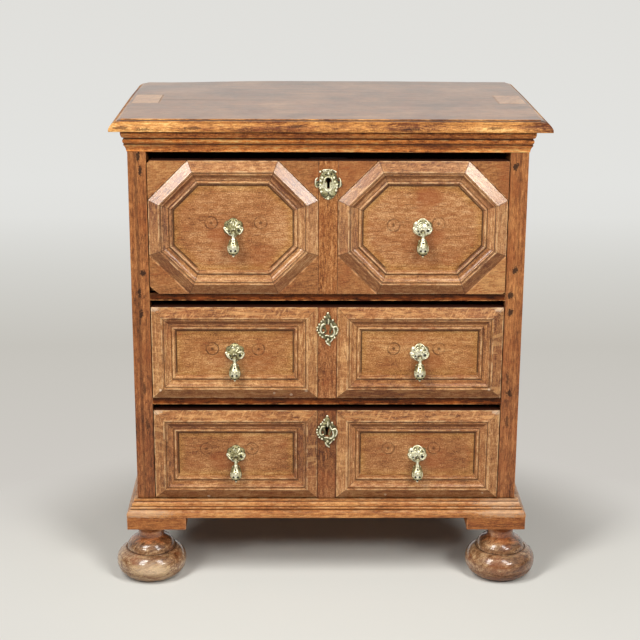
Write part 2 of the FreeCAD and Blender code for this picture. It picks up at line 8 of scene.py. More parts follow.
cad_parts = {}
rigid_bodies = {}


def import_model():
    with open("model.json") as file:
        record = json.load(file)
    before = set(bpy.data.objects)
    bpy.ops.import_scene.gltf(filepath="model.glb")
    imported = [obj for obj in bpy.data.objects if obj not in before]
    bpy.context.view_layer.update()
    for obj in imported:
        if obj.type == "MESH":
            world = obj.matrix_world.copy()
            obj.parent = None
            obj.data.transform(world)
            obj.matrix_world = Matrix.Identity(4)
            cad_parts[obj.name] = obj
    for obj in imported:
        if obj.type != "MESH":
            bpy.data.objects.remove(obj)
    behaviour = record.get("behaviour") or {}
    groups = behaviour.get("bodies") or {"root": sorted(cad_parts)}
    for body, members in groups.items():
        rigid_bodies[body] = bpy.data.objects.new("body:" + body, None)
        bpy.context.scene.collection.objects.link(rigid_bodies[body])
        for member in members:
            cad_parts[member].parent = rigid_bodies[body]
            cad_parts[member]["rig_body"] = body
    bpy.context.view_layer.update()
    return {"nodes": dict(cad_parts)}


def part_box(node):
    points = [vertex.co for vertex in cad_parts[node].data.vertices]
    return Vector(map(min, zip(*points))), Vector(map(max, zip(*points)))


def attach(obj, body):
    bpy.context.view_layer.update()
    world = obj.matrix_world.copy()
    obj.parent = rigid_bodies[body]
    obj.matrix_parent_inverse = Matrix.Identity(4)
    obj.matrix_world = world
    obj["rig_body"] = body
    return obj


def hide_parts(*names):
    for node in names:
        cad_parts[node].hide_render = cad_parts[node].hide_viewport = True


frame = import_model()
nodes = frame["nodes"]
scene = bpy.context.scene
scene.view_settings.view_transform = "Standard"
mm = 0.001
print("frame loaded:", len(nodes), "nodes")


def arithmetic(operation, swapped=False):
    def applied(flow, other=0.0):
        first, second = (other, flow) if swapped else (flow, other)
        return flow.node("ShaderNodeMath", {"operation": operation}, {0: first, 1: second})

    return applied


class Flow:
    # a socket of a finish's node tree: arithmetic on it adds Math nodes
    def __init__(self, tree, socket=None):
        self.tree = tree
        self.socket = socket

    def node(self, kind, settings=None, values=None, out=0):
        made = self.tree.nodes.new(kind)
        for key, value in (settings or {}).items():
            if key == "stops":
                elements = made.color_ramp.elements
                while len(elements) < len(value):
                    elements.new(1.0)
                for element, (position, colour) in zip(elements, value):
                    element.position = position
                    element.color = tint(*colour)
            else:
                setattr(made, key, value)
        for key, value in (values or {}).items():
            if isinstance(value, Flow):
                self.tree.links.new(value.socket, made.inputs[key])
            else:
                made.inputs[key].default_value = value
        return Flow(self.tree, made.outputs[out])

    def parts(self):
        first = self.node("ShaderNodeSeparateXYZ", {}, {0: self})
        return [Flow(self.tree, socket) for socket in first.socket.node.outputs]

    __add__, __radd__ = arithmetic("ADD"), arithmetic("ADD", True)
    __sub__, __rsub__ = arithmetic("SUBTRACT"), arithmetic("SUBTRACT", True)
    __mul__, __rmul__ = arithmetic("MULTIPLY"), arithmetic("MULTIPLY", True)
    least, most = arithmetic("MINIMUM"), arithmetic("MAXIMUM")
    root, sine = arithmetic("SQRT"), arithmetic("SINE")
    __abs__ = arithmetic("ABSOLUTE")


# colours are written as they read in an image editor, 0 to 255; ramps turn theirs by themselves
def tint(red, green, blue):
    def straight(value):
        value = value / 255
        return value / 12.92 if value <= 0.04045 else ((value + 0.055) / 1.055) ** 2.4

    return straight(red), straight(green), straight(blue), 1.0


def fade(flow, low, high):  # eased from 0 at low to 1 at high
    return flow.node("ShaderNodeMapRange", {"interpolation_type": "SMOOTHSTEP"}, {0: flow, 1: low, 2: high})


def cloud(flow, sizes, detail=2.0, rough=0.5):
    place = flow.node("ShaderNodeVectorMath", {"operation": "MULTIPLY"}, {0: flow, 1: sizes})
    values = {"Vector": place, "Scale": 1.0, "Detail": detail, "Roughness": rough}
    return flow.node("ShaderNodeTexNoise", {}, values)


def mixed(first, second, share, blend="MIX"):  # a Mix node's colours are inputs 6 and 7 and output 2
    flow = first if isinstance(first, Flow) else share
    settings = {"data_type": "RGBA", "blend_type": blend}
    return flow.node("ShaderNodeMix", settings, {0: share, 6: first, 7: second}, out=2)


def ramp(shade, colours):  # from dark through middle to light
    stops = list(zip((0.0, 0.5, 1.0), colours))
    return shade.node("ShaderNodeValToRGB", {"stops": stops}, {0: shade})


def streak(flow, middle, half, solid=0.35):  # 1 on a line at middle, fading to 0 at half its width
    return 1 - fade(abs(flow - middle), half * solid, half)


def distance(across, up):
    return (across * across + up * up).root()


def strongest(masks):  # None if there are no masks
    best = None
    for mask in masks:
        best = mask if best is None else best.most(mask)
    return best


def rayIs(flow, *kinds):  # 1 for a ray of one of these kinds
    outputs = flow.node("ShaderNodeLightPath").socket.node.outputs
    return strongest(Flow(flow.tree, outputs["Is " + kind + " Ray"]) for kind in kinds)


def eased(value, start, end):  # the same as fade, for plain numbers
    share = min(1.0, max(0.0, (value - start) / (end - start)))
    return share * share * (3 - 2 * share)


def attribute(flow, name, out="Fac"):
    return flow.node("ShaderNodeAttribute", {"attribute_name": name}, out=out)


def newFinish(name):
    finish = bpy.data.materials.new(name)
    finish.use_nodes = True
    return finish, Flow(finish.node_tree), finish.node_tree.nodes["Principled BSDF"]


def feed(flow, shader, **sockets):
    for name, value in sockets.items():
        socket = shader.inputs[name.replace("_", " ")]
        if isinstance(value, Flow):
            flow.tree.links.new(value.socket, socket)
        else:
            socket.default_value = value


# camera: fitted to the edges of the top, the carcass, the drawers and the feet
viewpoint = {
    "place": (-0.04398, -2.63111, 1.19189), "yaw": 0.013, "pitch": 0.29067, "roll": -0.0048,
    "focalPixels": 1542.5, "framePixels": 640, "sensor": 36.0,
}
cosYaw, sinYaw = math.cos(viewpoint["yaw"]), math.sin(viewpoint["yaw"])
cosPitch, sinPitch = math.cos(viewpoint["pitch"]), math.sin(viewpoint["pitch"])
cosRoll, sinRoll = math.cos(viewpoint["roll"]), math.sin(viewpoint["roll"])
ahead = Vector((sinYaw * cosPitch, cosYaw * cosPitch, -sinPitch))
levelRight = Vector((cosYaw, -sinYaw, 0))
levelUp = Vector((sinYaw * sinPitch, cosYaw * sinPitch, cosPitch))
cameraRight = levelRight * cosRoll - levelUp * sinRoll
cameraUp = levelRight * sinRoll + levelUp * cosRoll
cameraData = bpy.data.cameras.new("camera")
cameraData.sensor_width = viewpoint["sensor"]
cameraData.lens = viewpoint["focalPixels"] / viewpoint["framePixels"] * viewpoint["sensor"]
camera = bpy.data.objects.new("camera", cameraData)
turned = Matrix((cameraRight, cameraUp, -ahead)).transposed().to_4x4()
camera.matrix_world = Matrix.Translation(viewpoint["place"]) @ turned
scene.collection.objects.link(camera)
scene.camera = camera
print("camera set")

# stage: a pale floor that sweeps up into a backdrop; beyond the chest the camera sees glowing paper whose
# colour ramp paints the light's fall-off as a soft grey band where the sweep begins
stageLook = {
    "half": 7.0, "front": -7.0, "fold": 2.6, "height": 6.0, "curve": 1.1, "floor": tint(222, 221, 216),
    "middleY": -0.1, "depthShare": 1.25, "farFrom": 0.42, "farTo": 0.72, "sweepStart": 1.0,
    "sweepLength": 5.0,
    "sweep": ((0.10, (228, 225, 218)), (0.17, (224, 221, 214)), (0.25, (206, 202, 196)),
              (0.424, (198, 195, 188)), (0.584, (212, 211, 206)), (0.744, (227, 227, 224)),
              (0.88, (224, 223, 219))),
}
bm = bmesh.new()
sweep = [bm.verts.new((-stageLook["half"], y, z)) for y, z in
         ((stageLook["front"], 0), (stageLook["fold"], 0), (stageLook["fold"], stageLook["height"]))]
line = [bm.edges.new(pair) for pair in zip(sweep, sweep[1:])]
drawn = bmesh.ops.extrude_edge_only(bm, edges=line)["geom"]
bmesh.ops.translate(bm, verts=[v for v in drawn if isinstance(v, bmesh.types.BMVert)],
                    vec=(2 * stageLook["half"], 0, 0))
folds = [e for e in bm.edges if all(v.co.y == stageLook["fold"] and v.co.z == 0 for v in e.verts)]
bmesh.ops.bevel(bm, geom=folds, offset=stageLook["curve"], offset_type="OFFSET", affect="EDGES",
                segments=24, profile=0.5, material=-1)
bmesh.ops.recalc_face_normals(bm, faces=bm.faces)
stageMesh = bpy.data.meshes.new("floorSweep")
bm.to_mesh(stageMesh)
bm.free()
stageMesh.shade_smooth()
stagePaint, flow, shader = newFinish("palePaper")
seen = rayIs(flow, "Camera", "Glossy", "Transmission")
acrossX, backY, upZ = flow.node("ShaderNodeTexCoord", out="Object").parts()
deepY = (backY - stageLook["middleY"]) * stageLook["depthShare"]
far = fade(distance(acrossX, deepY), stageLook["farFrom"], stageLook["farTo"])
sweepShade = flow.node("ShaderNodeValToRGB", {"stops": stageLook["sweep"]},
                       {0: (backY + upZ + stageLook["sweepStart"]) * (1 / stageLook["sweepLength"])})
paper = flow.node("ShaderNodeEmission", {}, {"Color": sweepShade, "Strength": 1.0})
feed(flow, shader, Base_Color=stageLook["floor"], Roughness=0.95, Specular_IOR_Level=0.1)
lit = flow.node("ShaderNodeMixShader", {}, {0: far * seen, 1: Flow(flow.tree, shader.outputs[0]), 2: paper})
flow.tree.links.new(lit.socket, stagePaint.node_tree.nodes["Material Output"].inputs["Surface"])
stageMesh.materials.append(stagePaint)
stage = bpy.data.objects.new("floorSweep", stageMesh)
scene.collection.objects.link(stage)

# light: a tall soft box to the left and the right, a small low lamp beside each, and a little all round
lamps = {
    "boxes": {  # place, width, height and power
        "left": ((-1.12, -1.36, 2.30), 0.6, 1.3, 35.0), "right": ((0.85, -1.55, 2.30), 0.6, 1.3, 23.2),
        "leftLow": ((-1.36, -1.79, 1.38), 0.55, 0.3, 9.2),
        "rightLow": ((1.29, -1.79, 1.38), 0.7, 0.28, 12.4)},
    "aim": (0, -0.2, 0.5), "colour": (1.0, 0.985, 0.95), "around": (0.96, 0.98, 1.0, 1.0),
    "aroundStrength": 0.075, "mirrored": (0.54, 0.52, 0.5, 1.0), "mirroredFacing": (0.1, 0.5),
    "beyond": tint(224, 223, 219),
}
for name, (place, wide, tall, power) in lamps["boxes"].items():
    lampData = bpy.data.lights.new(name + "SoftBox", "AREA")
    lampData.shape = "RECTANGLE"
    lampData.size = wide
    lampData.size_y = tall
    lampData.energy = power
    lampData.color = lamps["colour"]
    lamp = bpy.data.objects.new(name + "SoftBox", lampData)
    lamp.location = place
    lamp.rotation_euler = (Vector(lamps["aim"]) - Vector(place)).to_track_quat("-Z", "Y").to_euler()
    scene.collection.objects.link(lamp)
world = bpy.data.worlds.new("room")
world.use_nodes = True
flow = Flow(world.node_tree)
backing = world.node_tree.nodes["Background"]
upward = fade(flow.node("ShaderNodeTexCoord", out="Generated").parts()[2], *lamps["mirroredFacing"])
ceiling = rayIs(flow, "Glossy") * upward  # a pale ceiling that only gloss shows
faint = tuple(channel * lamps["aroundStrength"] for channel in lamps["around"])
room = mixed(faint, lamps["mirrored"], ceiling)
room = mixed(room, lamps["beyond"], rayIs(flow, "Camera", "Transmission"))
feed(flow, backing, Color=room, Strength=1.0)
scene.world = world
print("stage and light set")


# distances inwards from the edges of the framed fields on a drawer front, in metres
def fieldDepths(x, z, field):
    sideways = abs(abs(x) - field["x"])
    upright = abs(z - field["z"])
    depths = [field["halfWidth"] - sideways, field["halfHeight"] - upright]
    if "corner" in field:
        depths.append((field["corner"] - sideways - upright) * math.sqrt(0.5))
    return depths


# the depth from the nearest edge, and how far a point is from the mitre between the two nearest edges
def depthAndMitre(x, z, field):
    first, second, *rest = fieldDepths(x, z, field)
    near, further = first.least(second), first.most(second)
    for third in rest:
        near, further = near.least(third), further.least(near.most(third))
    return near, further - near


# which length of a field's moulding a point lies on, and whether it lies on a mitre
def lengthAt(point, field, slack=0.03 * mm):
    depths = fieldDepths(point.x, point.z, field)
    order = sorted(range(len(depths)), key=lambda k: depths[k])
    outer, upper = abs(point.x) > field["x"], point.z > field["z"]
    turns = ((outer,), (upper,), (outer, upper))[order[0]]
    return (point.x > 0, order[0]) + turns, depths[order[1]] - depths[order[0]] < slack


# uneven oval spots with ragged edges; a row is axis, reach, axis, reach, strength and the spots' middles
def spotMasks(level, ragged, rows, raggedShare=1.6, solid=0.55, end=1.05):
    masks = []
    for first, firstReach, second, secondReach, strength, spots in rows:
        for spot in spots:
            away = distance((level[first] - spot[0]) * (1 / firstReach),
                            (level[second] - spot[1]) * (1 / secondReach))
            masks.append((1 - fade(away + (ragged - 0.5) * raggedShare, solid, end)) * strength)
    return masks


# noises along the grain and in place: sizes, detail and roughness; and ranges that make masks of some
grainNoise = {
    "drift": ((2.2, 13, 13), 2.0), "streaks": ((6, 150, 150), 3.0, 0.6),
    "fibre": ((95, 560, 560), 2.0, 0.6), "mottle": ((80, 170, 170), 3.0, 0.65),
    "pores": ((60, 1300, 1300), 1.0), "dashes": ((70, 420, 420), 1.0),
}
placeNoise = {
    "patchy": ((10, 10, 10), 2.0), "speckle": ((480, 480, 480), 1.0), "ruddy": ((19, 19, 19), 3.0, 0.6),
    "paleBreakup": ((60, 60, 60), 3.0, 0.6), "broken": ((70, 70, 70), 2.0), "bands": ((30, 30, 150), 1.0),
}
maskRanges = {
    "pores": (0.58, 0.68), "dashes": (0.62, 0.7), "ruddy": (0.46, 0.68), "paleBreakup": (0.42, 0.62),
    "broken": (0.44, 0.58), "bands": (0.56, 0.64),
}
oak = {
    "raggedSpeckle": 0.8, "bumpDepth": 0.5 * mm,
    "height": {"fibre": 0.5, "mottle": 0.5, "pores": -0.6, "streaks": 0.3},
    "mottleGloss": 0.3, "poreGloss": 0.12, "wornGloss": -0.05, "grimeGloss": 0.25, "edgeGloss": 0.2,
    "rayAlong": 190.0, "rayLean": 120.0, "rayAcross": 60.0, "rayRange": (0.54, 0.7), "rayEnd": 1 * mm,
    "bandDepth": (19 * mm, 16 * mm), "bandShare": 0.8,
    "ringBlur": 2.5 * mm, "ringRadius": 10.2 * mm, "ringHalf": 1.6 * mm, "ringFaint": 0.4,
    "plugRange": (1.2 * mm, 3.8 * mm), "gapShadeFacing": (0.55, 0.8), "gapShadeDepth": 4 * mm,
    "flatFacing": (0.9, 0.97), "underFacing": (-0.12, -0.34),
}


# oak: growth rings, streaks, fibres, pores and flecks along each piece's own grain, with its look's marks
def oakFinish(name, look):
    finish, flow, shader = newFinish(name)
    place = flow.node("ShaderNodeTexCoord", out="Object")
    grain = attribute(flow, "grain", "Vector")
    worn = attribute(flow, "worn")
    figure = {"tone": attribute(flow, "tone")}
    for source, noises in ((grain, grainNoise), (place, placeNoise)):
        for key, sizes in noises.items():
            figure[key] = cloud(source, *sizes)
    for key, limits in maskRanges.items():
        figure[key] = fade(figure[key], *limits)
    mottle, pores = figure["mottle"], figure["pores"]
    x, y, z = place.parts()
    along, across, rise = grain.parts()
    facing = flow.node("ShaderNodeNewGeometry", out="Normal").parts()[2]
    level = {"x": x, "y": y, "z": z, "facing": facing}
    if "field" in look:
        level["depth"], level["mitre"] = depthAndMitre(x, z, look["field"])

    # figure of the wood
    heart = distance(across, rise + look["heart"])
    turns = heart * look["ringsPerMetre"] + figure["drift"] * look["ringDrift"]
    shade = 0.5 + (turns * math.tau).sine() * look["rings"]
    for key in ("streaks", "fibre", "mottle", "patchy", "tone", "speckle"):
        shade = shade + (figure[key] - 0.5) * look[key]
    colour = ramp(shade, look["colours"])
    for axis, start, end, colours in look["zones"]:
        blurred = level[axis] + (mottle - 0.5) * look["zoneBlur"]
        colour = mixed(colour, ramp(shade, colours), fade(blurred, start, end))
    colour = mixed(colour, look["ruddy"], figure["ruddy"] * look["ruddyShare"])
    colour = mixed(colour, look["dirtAndShade"], pores * look["pores"])
    colour = mixed(colour, look["ruddy"], figure["dashes"] * look["dashes"])
    for flush in spotMasks(level, figure["patchy"], look["flushes"]):
        colour = mixed(colour, look["ruddy"], flush)
    if look["rays"]:
        lean = {0: along * oak["rayAlong"] + across * oak["rayLean"],
                1: across * oak["rayAcross"], 2: rise * oak["rayAcross"]}
        silver = fade(cloud(flow.node("ShaderNodeCombineXYZ", {}, lean), (1, 1, 1)), *oak["rayRange"])
        silver = silver * fade(z, look["raysFrom"] - oak["rayEnd"], look["raysFrom"])
        bands = figure["bands"] * fade(level["depth"], *oak["bandDepth"])
        colour = mixed(colour, look["rayColour"], silver.most(bands * oak["bandShare"]) * look["rays"])

    # wear and dirt; some pale lines are painted highlights and some dark lines painted shade
    ragged = mottle + (figure["speckle"] - 0.5) * oak["raggedSpeckle"]
    paleBreakup = look["paleBreakup"] + figure["paleBreakup"] * (1 - look["paleBreakup"])
    pale = worn * paleBreakup
    for axis, at, half, strength in look["rubbedAndHighlit"]:
        pale = pale.most(streak(level[axis], at, half) * paleBreakup * strength)
    colour = mixed(colour, look["worn"], pale * look["wornAndHighlitShare"])
    for paleSpot in spotMasks(level, ragged, look["chipsAndHighlights"]):
        colour = mixed(colour, look["chipAndHighlightColour"], paleSpot)
    masks = spotMasks(level, ragged, look["stains"])
    for axis, at, half, strength, *windows in look["grimeAndShade"]:
        line = streak(level[axis], at, half) * strength
        for other, start, end in windows:
            line = line * fade(level[other], start, end)
        masks.append(line)
    partly = oak["ringFaint"] + figure["broken"] * (1 - oak["ringFaint"])
    for ringX, ringZ in look["oldHandles"]:
        away = distance(x - ringX, z - ringZ) + (mottle - 0.5) * oak["ringBlur"]
        ring = streak(away, oak["ringRadius"], oak["ringHalf"]) * partly
        masks.append(ring * look["ringShare"])
        masks.append((1 - fade(away, *oak["plugRange"])) * look["ringShare"])
    # painted shade on the upward faces just below a drawer's top edge, which sit in the dark gap under the
    # rail
    if "gapShadeAbove" in look:
        gapShade = fade(z, look["gapShadeAbove"] - oak["gapShadeDepth"], look["gapShadeAbove"])
        masks.append(fade(facing, *oak["gapShadeFacing"]) * gapShade)
    grimeAndShade = strongest(masks)

    # surface
    height = sum(figure[key] * share for key, share in oak["height"].items())
    bump = {"Strength": look["bump"], "Distance": oak["bumpDepth"], "Height": height}
    gloss = look["gloss"] + (mottle - 0.5) * oak["mottleGloss"] + pores * oak["poreGloss"]
    gloss = gloss + pale * oak["wornGloss"]
    wax = look["wax"]
    if grimeAndShade is not None:
        colour = mixed(colour, look["dirtAndShade"], grimeAndShade)
        gloss = gloss + grimeAndShade * oak["grimeGloss"]
        wax = (1 - grimeAndShade) * wax
    if look["waxedAbove"]:
        flatness = fade(facing, *oak["flatFacing"])
        wax = wax * flatness
        gloss = gloss + (1 - flatness) * oak["edgeGloss"]
    colour = mixed(colour, look["varnish"], 1.0, "MULTIPLY")
    under = fade(facing, *oak["underFacing"])  # undersides are painted darker as shade, and lose their wax
    colour = mixed(colour, look["underColour"], under * look["under"])
    wax = (1 - under) * wax
    feed(flow, shader, Base_Color=colour, Roughness=gloss, Normal=flow.node("ShaderNodeBump", {}, bump),
         Coat_Weight=wax, Coat_Roughness=look["waxGloss"], Specular_IOR_Level=look["shine"])
    return finish


# groups of joined faces: each board or length of moulding gets its own grain direction and tone
def islandsOf(bm):
    bm.faces.ensure_lookup_table()
    reached = set()
    groups = []
    for first in bm.faces:
        if first in reached:
            continue
        reached.add(first)
        group = [first]
        for face in group:
            for edge in face.edges:
                for other in edge.link_faces:
                    if other not in reached:
                        reached.add(other)
                        group.append(other)
        groups.append(group)
    return groups


def extent(points, way):
    reach = [way.dot(point) for point in points]
    return min(reach), max(reach)


def grainFrame(faces, points, shape, squarest=0.35):
    if "axis" in shape:
        along = Vector(shape["axis"]).normalized()
    else:
        edges = dict.fromkeys(e for f in faces for e in f.edges)
        longest = max(edges, key=lambda e: round(e.calc_length(), 6))
        along = (longest.verts[1].co - longest.verts[0].co).normalized()
    if sum(along) < 0:
        along = -along
    ways = [Vector((1, 0, 0)), Vector((0, 1, 0)), Vector((0, 0, 1))]
    square = [way for way in ways if abs(way.dot(along)) < squarest]
    thin = min(square, key=lambda way: extent(points, way)[1] - extent(points, way)[0])
    thin = (thin - along * thin.dot(along)).normalized()
    return along, thin.cross(along), thin


def mergedCopy(node):
    bm = bmesh.new()
    bm.from_mesh(nodes[node].data)
    bmesh.ops.remove_doubles(bm, verts=bm.verts, dist=0.02 * mm)
    return bm


def placePiece(bm, name, node, finish):
    mesh = bpy.data.meshes.new(name)
    bm.to_mesh(mesh)
    bm.free()
    mesh.materials.clear()
    mesh.materials.append(finish)
    piece = bpy.data.objects.new(name, mesh)
    scene.collection.objects.link(piece)
    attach(piece, nodes[node]["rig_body"])
    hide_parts(node)
    return piece


# faces are shaded smooth, except over edges sharper than the crease or between two lengths
def smoothEdges(bm, crease, groupLayer=None):
    for face in bm.faces:
        face.smooth = True
    for edge in bm.edges:
        split = groupLayer is not None and len({face[groupLayer] for face in edge.link_faces}) > 1
        edge.smooth = edge.is_manifold and not split and edge.calc_face_angle(0) < math.radians(crease)


# a piece of wood: its node with softened, dented edges, and its grain; a shape changes some of these values
plainShape = {
    "soft": 0.0, "sharp": 0.6, "shortest": 6 * mm, "cut": 0.0, "wave": 0.0, "crease": 42, "sway": 0.06,
    "clips": (), "slices": (), "flat": math.radians(1), "hair": 0.001 * mm,
    "cell": 731.0, "slide": 7.3, "lift": 5.1, "liftRange": 0.04,
    "broadDents": 55.0, "fineDents": 170.0, "fineShare": 0.6, "dentLevel": 0.1,
}


def everything(bm):
    return bm.verts[:] + bm.edges[:] + bm.faces[:]


def woodPiece(node, finish, changes):
    shape = dict(plainShape, **changes)
    hair = shape["hair"]
    bm = mergedCopy(node)
    if shape["soft"]:
        bmesh.ops.dissolve_limit(bm, angle_limit=shape["flat"], verts=bm.verts, edges=bm.edges)
    if "field" in shape:  # the joints inside a ring of moulding go
        inside = []
        for face in bm.faces:
            points = [face.calc_center_median()] + [v.co for v in face.verts]
            if all(lengthAt(point, shape["field"])[1] for point in points):
                inside.append(face)
        bmesh.ops.delete(bm, geom=inside, context="FACES_ONLY")
    for point, way in shape["clips"]:
        cut = bmesh.ops.bisect_plane(bm, geom=everything(bm), dist=hair, plane_co=point, plane_no=way,
                                     clear_outer=True)
        rim = [e for e in cut["geom_cut"] if isinstance(e, bmesh.types.BMEdge)]
        bmesh.ops.holes_fill(bm, edges=rim, sides=0)
    for point, way in shape["slices"]:
        bmesh.ops.bisect_plane(bm, geom=everything(bm), dist=hair, plane_co=point, plane_no=way)
    wornLayer = bm.faces.layers.float.new("worn")
    if shape["soft"]:
        sharp = [e for e in bm.edges if e.is_manifold and e.calc_face_angle_signed(0) > shape["sharp"]
                 and e.calc_length() > shape["shortest"]]
        if "leave" in shape:
            sharp = [e for e in sharp if not shape["leave"]((e.verts[0].co + e.verts[1].co) / 2)]
        made = bmesh.ops.bevel(bm, geom=sharp, offset=shape["soft"], offset_type="OFFSET", affect="EDGES",
                               segments=2, profile=0.5, material=-1, clamp_overlap=True)
        for face in made["faces"]:
            face[wornLayer] = 1.0
    grainLayer = bm.loops.layers.float_vector.new("grain")
    toneLayer = bm.loops.layers.float.new("tone")
    groupLayer = bm.faces.layers.int.new("group")
    if "field" in shape:
        lengths = {}
        for face in bm.faces:
            lengths.setdefault(lengthAt(face.calc_center_median(), shape["field"])[0], []).append(face)
        groups = list(lengths.values())
    else:
        groups = islandsOf(bm)
    frames = []
    for number, faces in enumerate(groups):
        for face in faces:
            face[groupLayer] = number
        verts = list(dict.fromkeys(v for f in faces for v in f.verts))
        points = [v.co for v in verts]
        along, across, thin = grainFrame(faces, points, shape)
        middle = sum(points, Vector()) / len(points)
        chance = noise.cell(middle * shape["cell"])
        tone = shape["toneAt"](middle, chance) if "toneAt" in shape else chance
        shift = Vector((chance * shape["slide"], (chance - 0.5) * shape["sway"],
                        (chance * shape["lift"]) % shape["liftRange"]))
        frames.append((along, across, thin, middle, shift, tone))
        if shape["cut"]:
            low, high = extent(points, along)
            count = max(1, int((high - low) / shape["cut"]))
            geom = verts + list(dict.fromkeys(e for f in faces for e in f.edges)) + faces
            for step in range(1, count):
                at = low + (high - low) * step / count
                geom = bmesh.ops.bisect_plane(bm, geom=geom, dist=hair, plane_co=along * at,
                                              plane_no=along)["geom"]
    for face in bm.faces:
        along, across, thin, middle, shift, tone = frames[face[groupLayer]]
        for corner in face.loops:
            off = corner.vert.co - middle
            corner[grainLayer] = Vector((along.dot(off), across.dot(off), thin.dot(off))) + shift
            corner[toneLayer] = tone
    bm.normal_update()
    smoothEdges(bm, shape["crease"], groupLayer)
    if shape["wave"]:
        for v in bm.verts:
            dent = noise.noise(v.co * shape["broadDents"])
            dent = dent + shape["fineShare"] * noise.noise(v.co * shape["fineDents"])
            v.co += v.normal * min(0.0, dent - shape["dentLevel"]) * shape["wave"]
    if "settle" in shape:
        for v in bm.verts:
            v.co = shape["settle"](v.co)
    bm.faces.layers.int.remove(groupLayer)
    piece = placePiece(bm, node + "_wood", node, finish)
    if shape["soft"]:
        even = piece.modifiers.new("evenShading", "WEIGHTED_NORMAL")
        even.keep_sharp = True


# rows of marks: zones are axis, start, end and colours; rubbedAndHighlit and grimeAndShade are axis, place,
# half width and strength, and grimeAndShade may have windows of axis, start and end; flushes,
# chipsAndHighlights and stains are rows of spots. Some pale lines and spots are painted highlights, and
# some dark lines are painted shade
agedOak = {
    "dirtAndShade": tint(34, 18, 9), "ruddy": tint(150, 78, 38), "ruddyShare": 0.35, "rings": 0.05, "streaks": 0.8,
    "fibre": 1.2, "mottle": 1.0, "patchy": 0.8, "tone": 0.2, "pores": 0.5, "wornAndHighlitShare": 0.5, "wax": 0.12,
    "waxGloss": 0.28, "shine": 0.28, "varnish": (1.02, 0.99, 0.93, 1.0), "speckle": 0.6, "under": 0.35,
    "underColour": tint(84, 36, 14), "dashes": 0.25, "paleBreakup": 0.0, "chipAndHighlightColour": tint(232, 206, 178),
    "heart": 0.05, "ringsPerMetre": 170.0, "ringDrift": 6.0, "zoneBlur": 0.0, "bump": 0.3, "rays": 0.0,
    "waxedAbove": False, "zones": (), "flushes": (), "rubbedAndHighlit": (), "chipsAndHighlights": (), "grimeAndShade": (), "stains": (),
    "oldHandles": (),
}

# carcass: stiles, rails, sides and the mouldings round its top and foot
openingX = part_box("front_stile_right")[0][0]
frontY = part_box("front_stile_left")[0][1]
plainCarcass = dict(agedOak, streaks=1.3, worn=tint(206, 150, 104), gloss=0.45)
carcassLook = dict(
    plainCarcass, colours=((82, 42, 20), (152, 94, 52), (198, 136, 82)),
    zones=(("z", 0.5, 0.25, ((70, 34, 16), (136, 80, 45), (184, 122, 74))),),
    grimeAndShade=(("x", openingX + 17 * mm, 2.4 * mm, 0.15), ("x", -openingX - 17 * mm, 3.4 * mm, 0.35)),
    stains=(("x", 3.6 * mm, "z", 10 * mm, 0.88,
             ((-0.301, 0.711), (-0.304, 0.735), (-0.308, 0.509), (-0.306, 0.474))),
            ("x", 5.6 * mm, "z", 7 * mm, 0.88,
             ((-0.302, 0.543), (0.300, 0.720), (0.306, 0.549), (0.300, 0.507), (0.302, 0.478),
              (0.304, 0.336))),
            ("x", 3.2 * mm, "z", 15 * mm, 0.6,
             ((-0.304, 0.344), (-0.301, 0.279), (0.301, 0.363), (0.303, 0.287)))),
)
carcassOak = oakFinish("carcassOak", carcassLook)
frameShape = {"soft": 0.9 * mm, "cut": 22 * mm, "wave": 0.22 * mm}
for node in ("front_stile_left", "front_stile_right", "rear_stiles", "side_rails", "side_panels"):
    woodPiece(node, carcassOak, frameShape)
woodPiece("frame_pegs", carcassOak, {"wave": 0.1 * mm, "crease": 35})
railLook = dict(
    plainCarcass, colours=((44, 18, 6), (116, 56, 20), (180, 104, 46)), shine=0.12, wax=0.0,
    ruddyShare=0.4, worn=tint(214, 148, 90), wornAndHighlitShare=0.9,
)
# each rail's lower edge is painted paler as a highlight, and its head darker as the shadow of the drawer
# above
for node in ("upper_drawer_rail", "lower_drawer_rail"):
    railFoot, railHead = (corner[2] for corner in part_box(node))
    railLook["rubbedAndHighlit"] += (("z", railFoot, 2.2 * mm, 1.0),)
    railLook["grimeAndShade"] += (("z", railHead, 8 * mm, 0.6),)
railOak = oakFinish("railOak", railLook)
for node in ("top_rail", "upper_drawer_rail", "lower_drawer_rail", "bottom_rail"):
    woodPiece(node, railOak, frameShape)
blockLook = dict(plainCarcass, colours=((88, 42, 15), (150, 88, 43), (192, 128, 70)), ruddyShare=0.2)
blockOak = oakFinish("blockOak", blockLook)
woodPiece("foot_blocks", blockOak, dict(frameShape, soft=1.6 * mm, axis=(1, 0, 0)))


def lines(axis, base, *rows):  # rows of marks: place above a base and half width in mm, strength
    return tuple((axis, base + at * mm, half * mm, strength) for at, half, strength in rows)


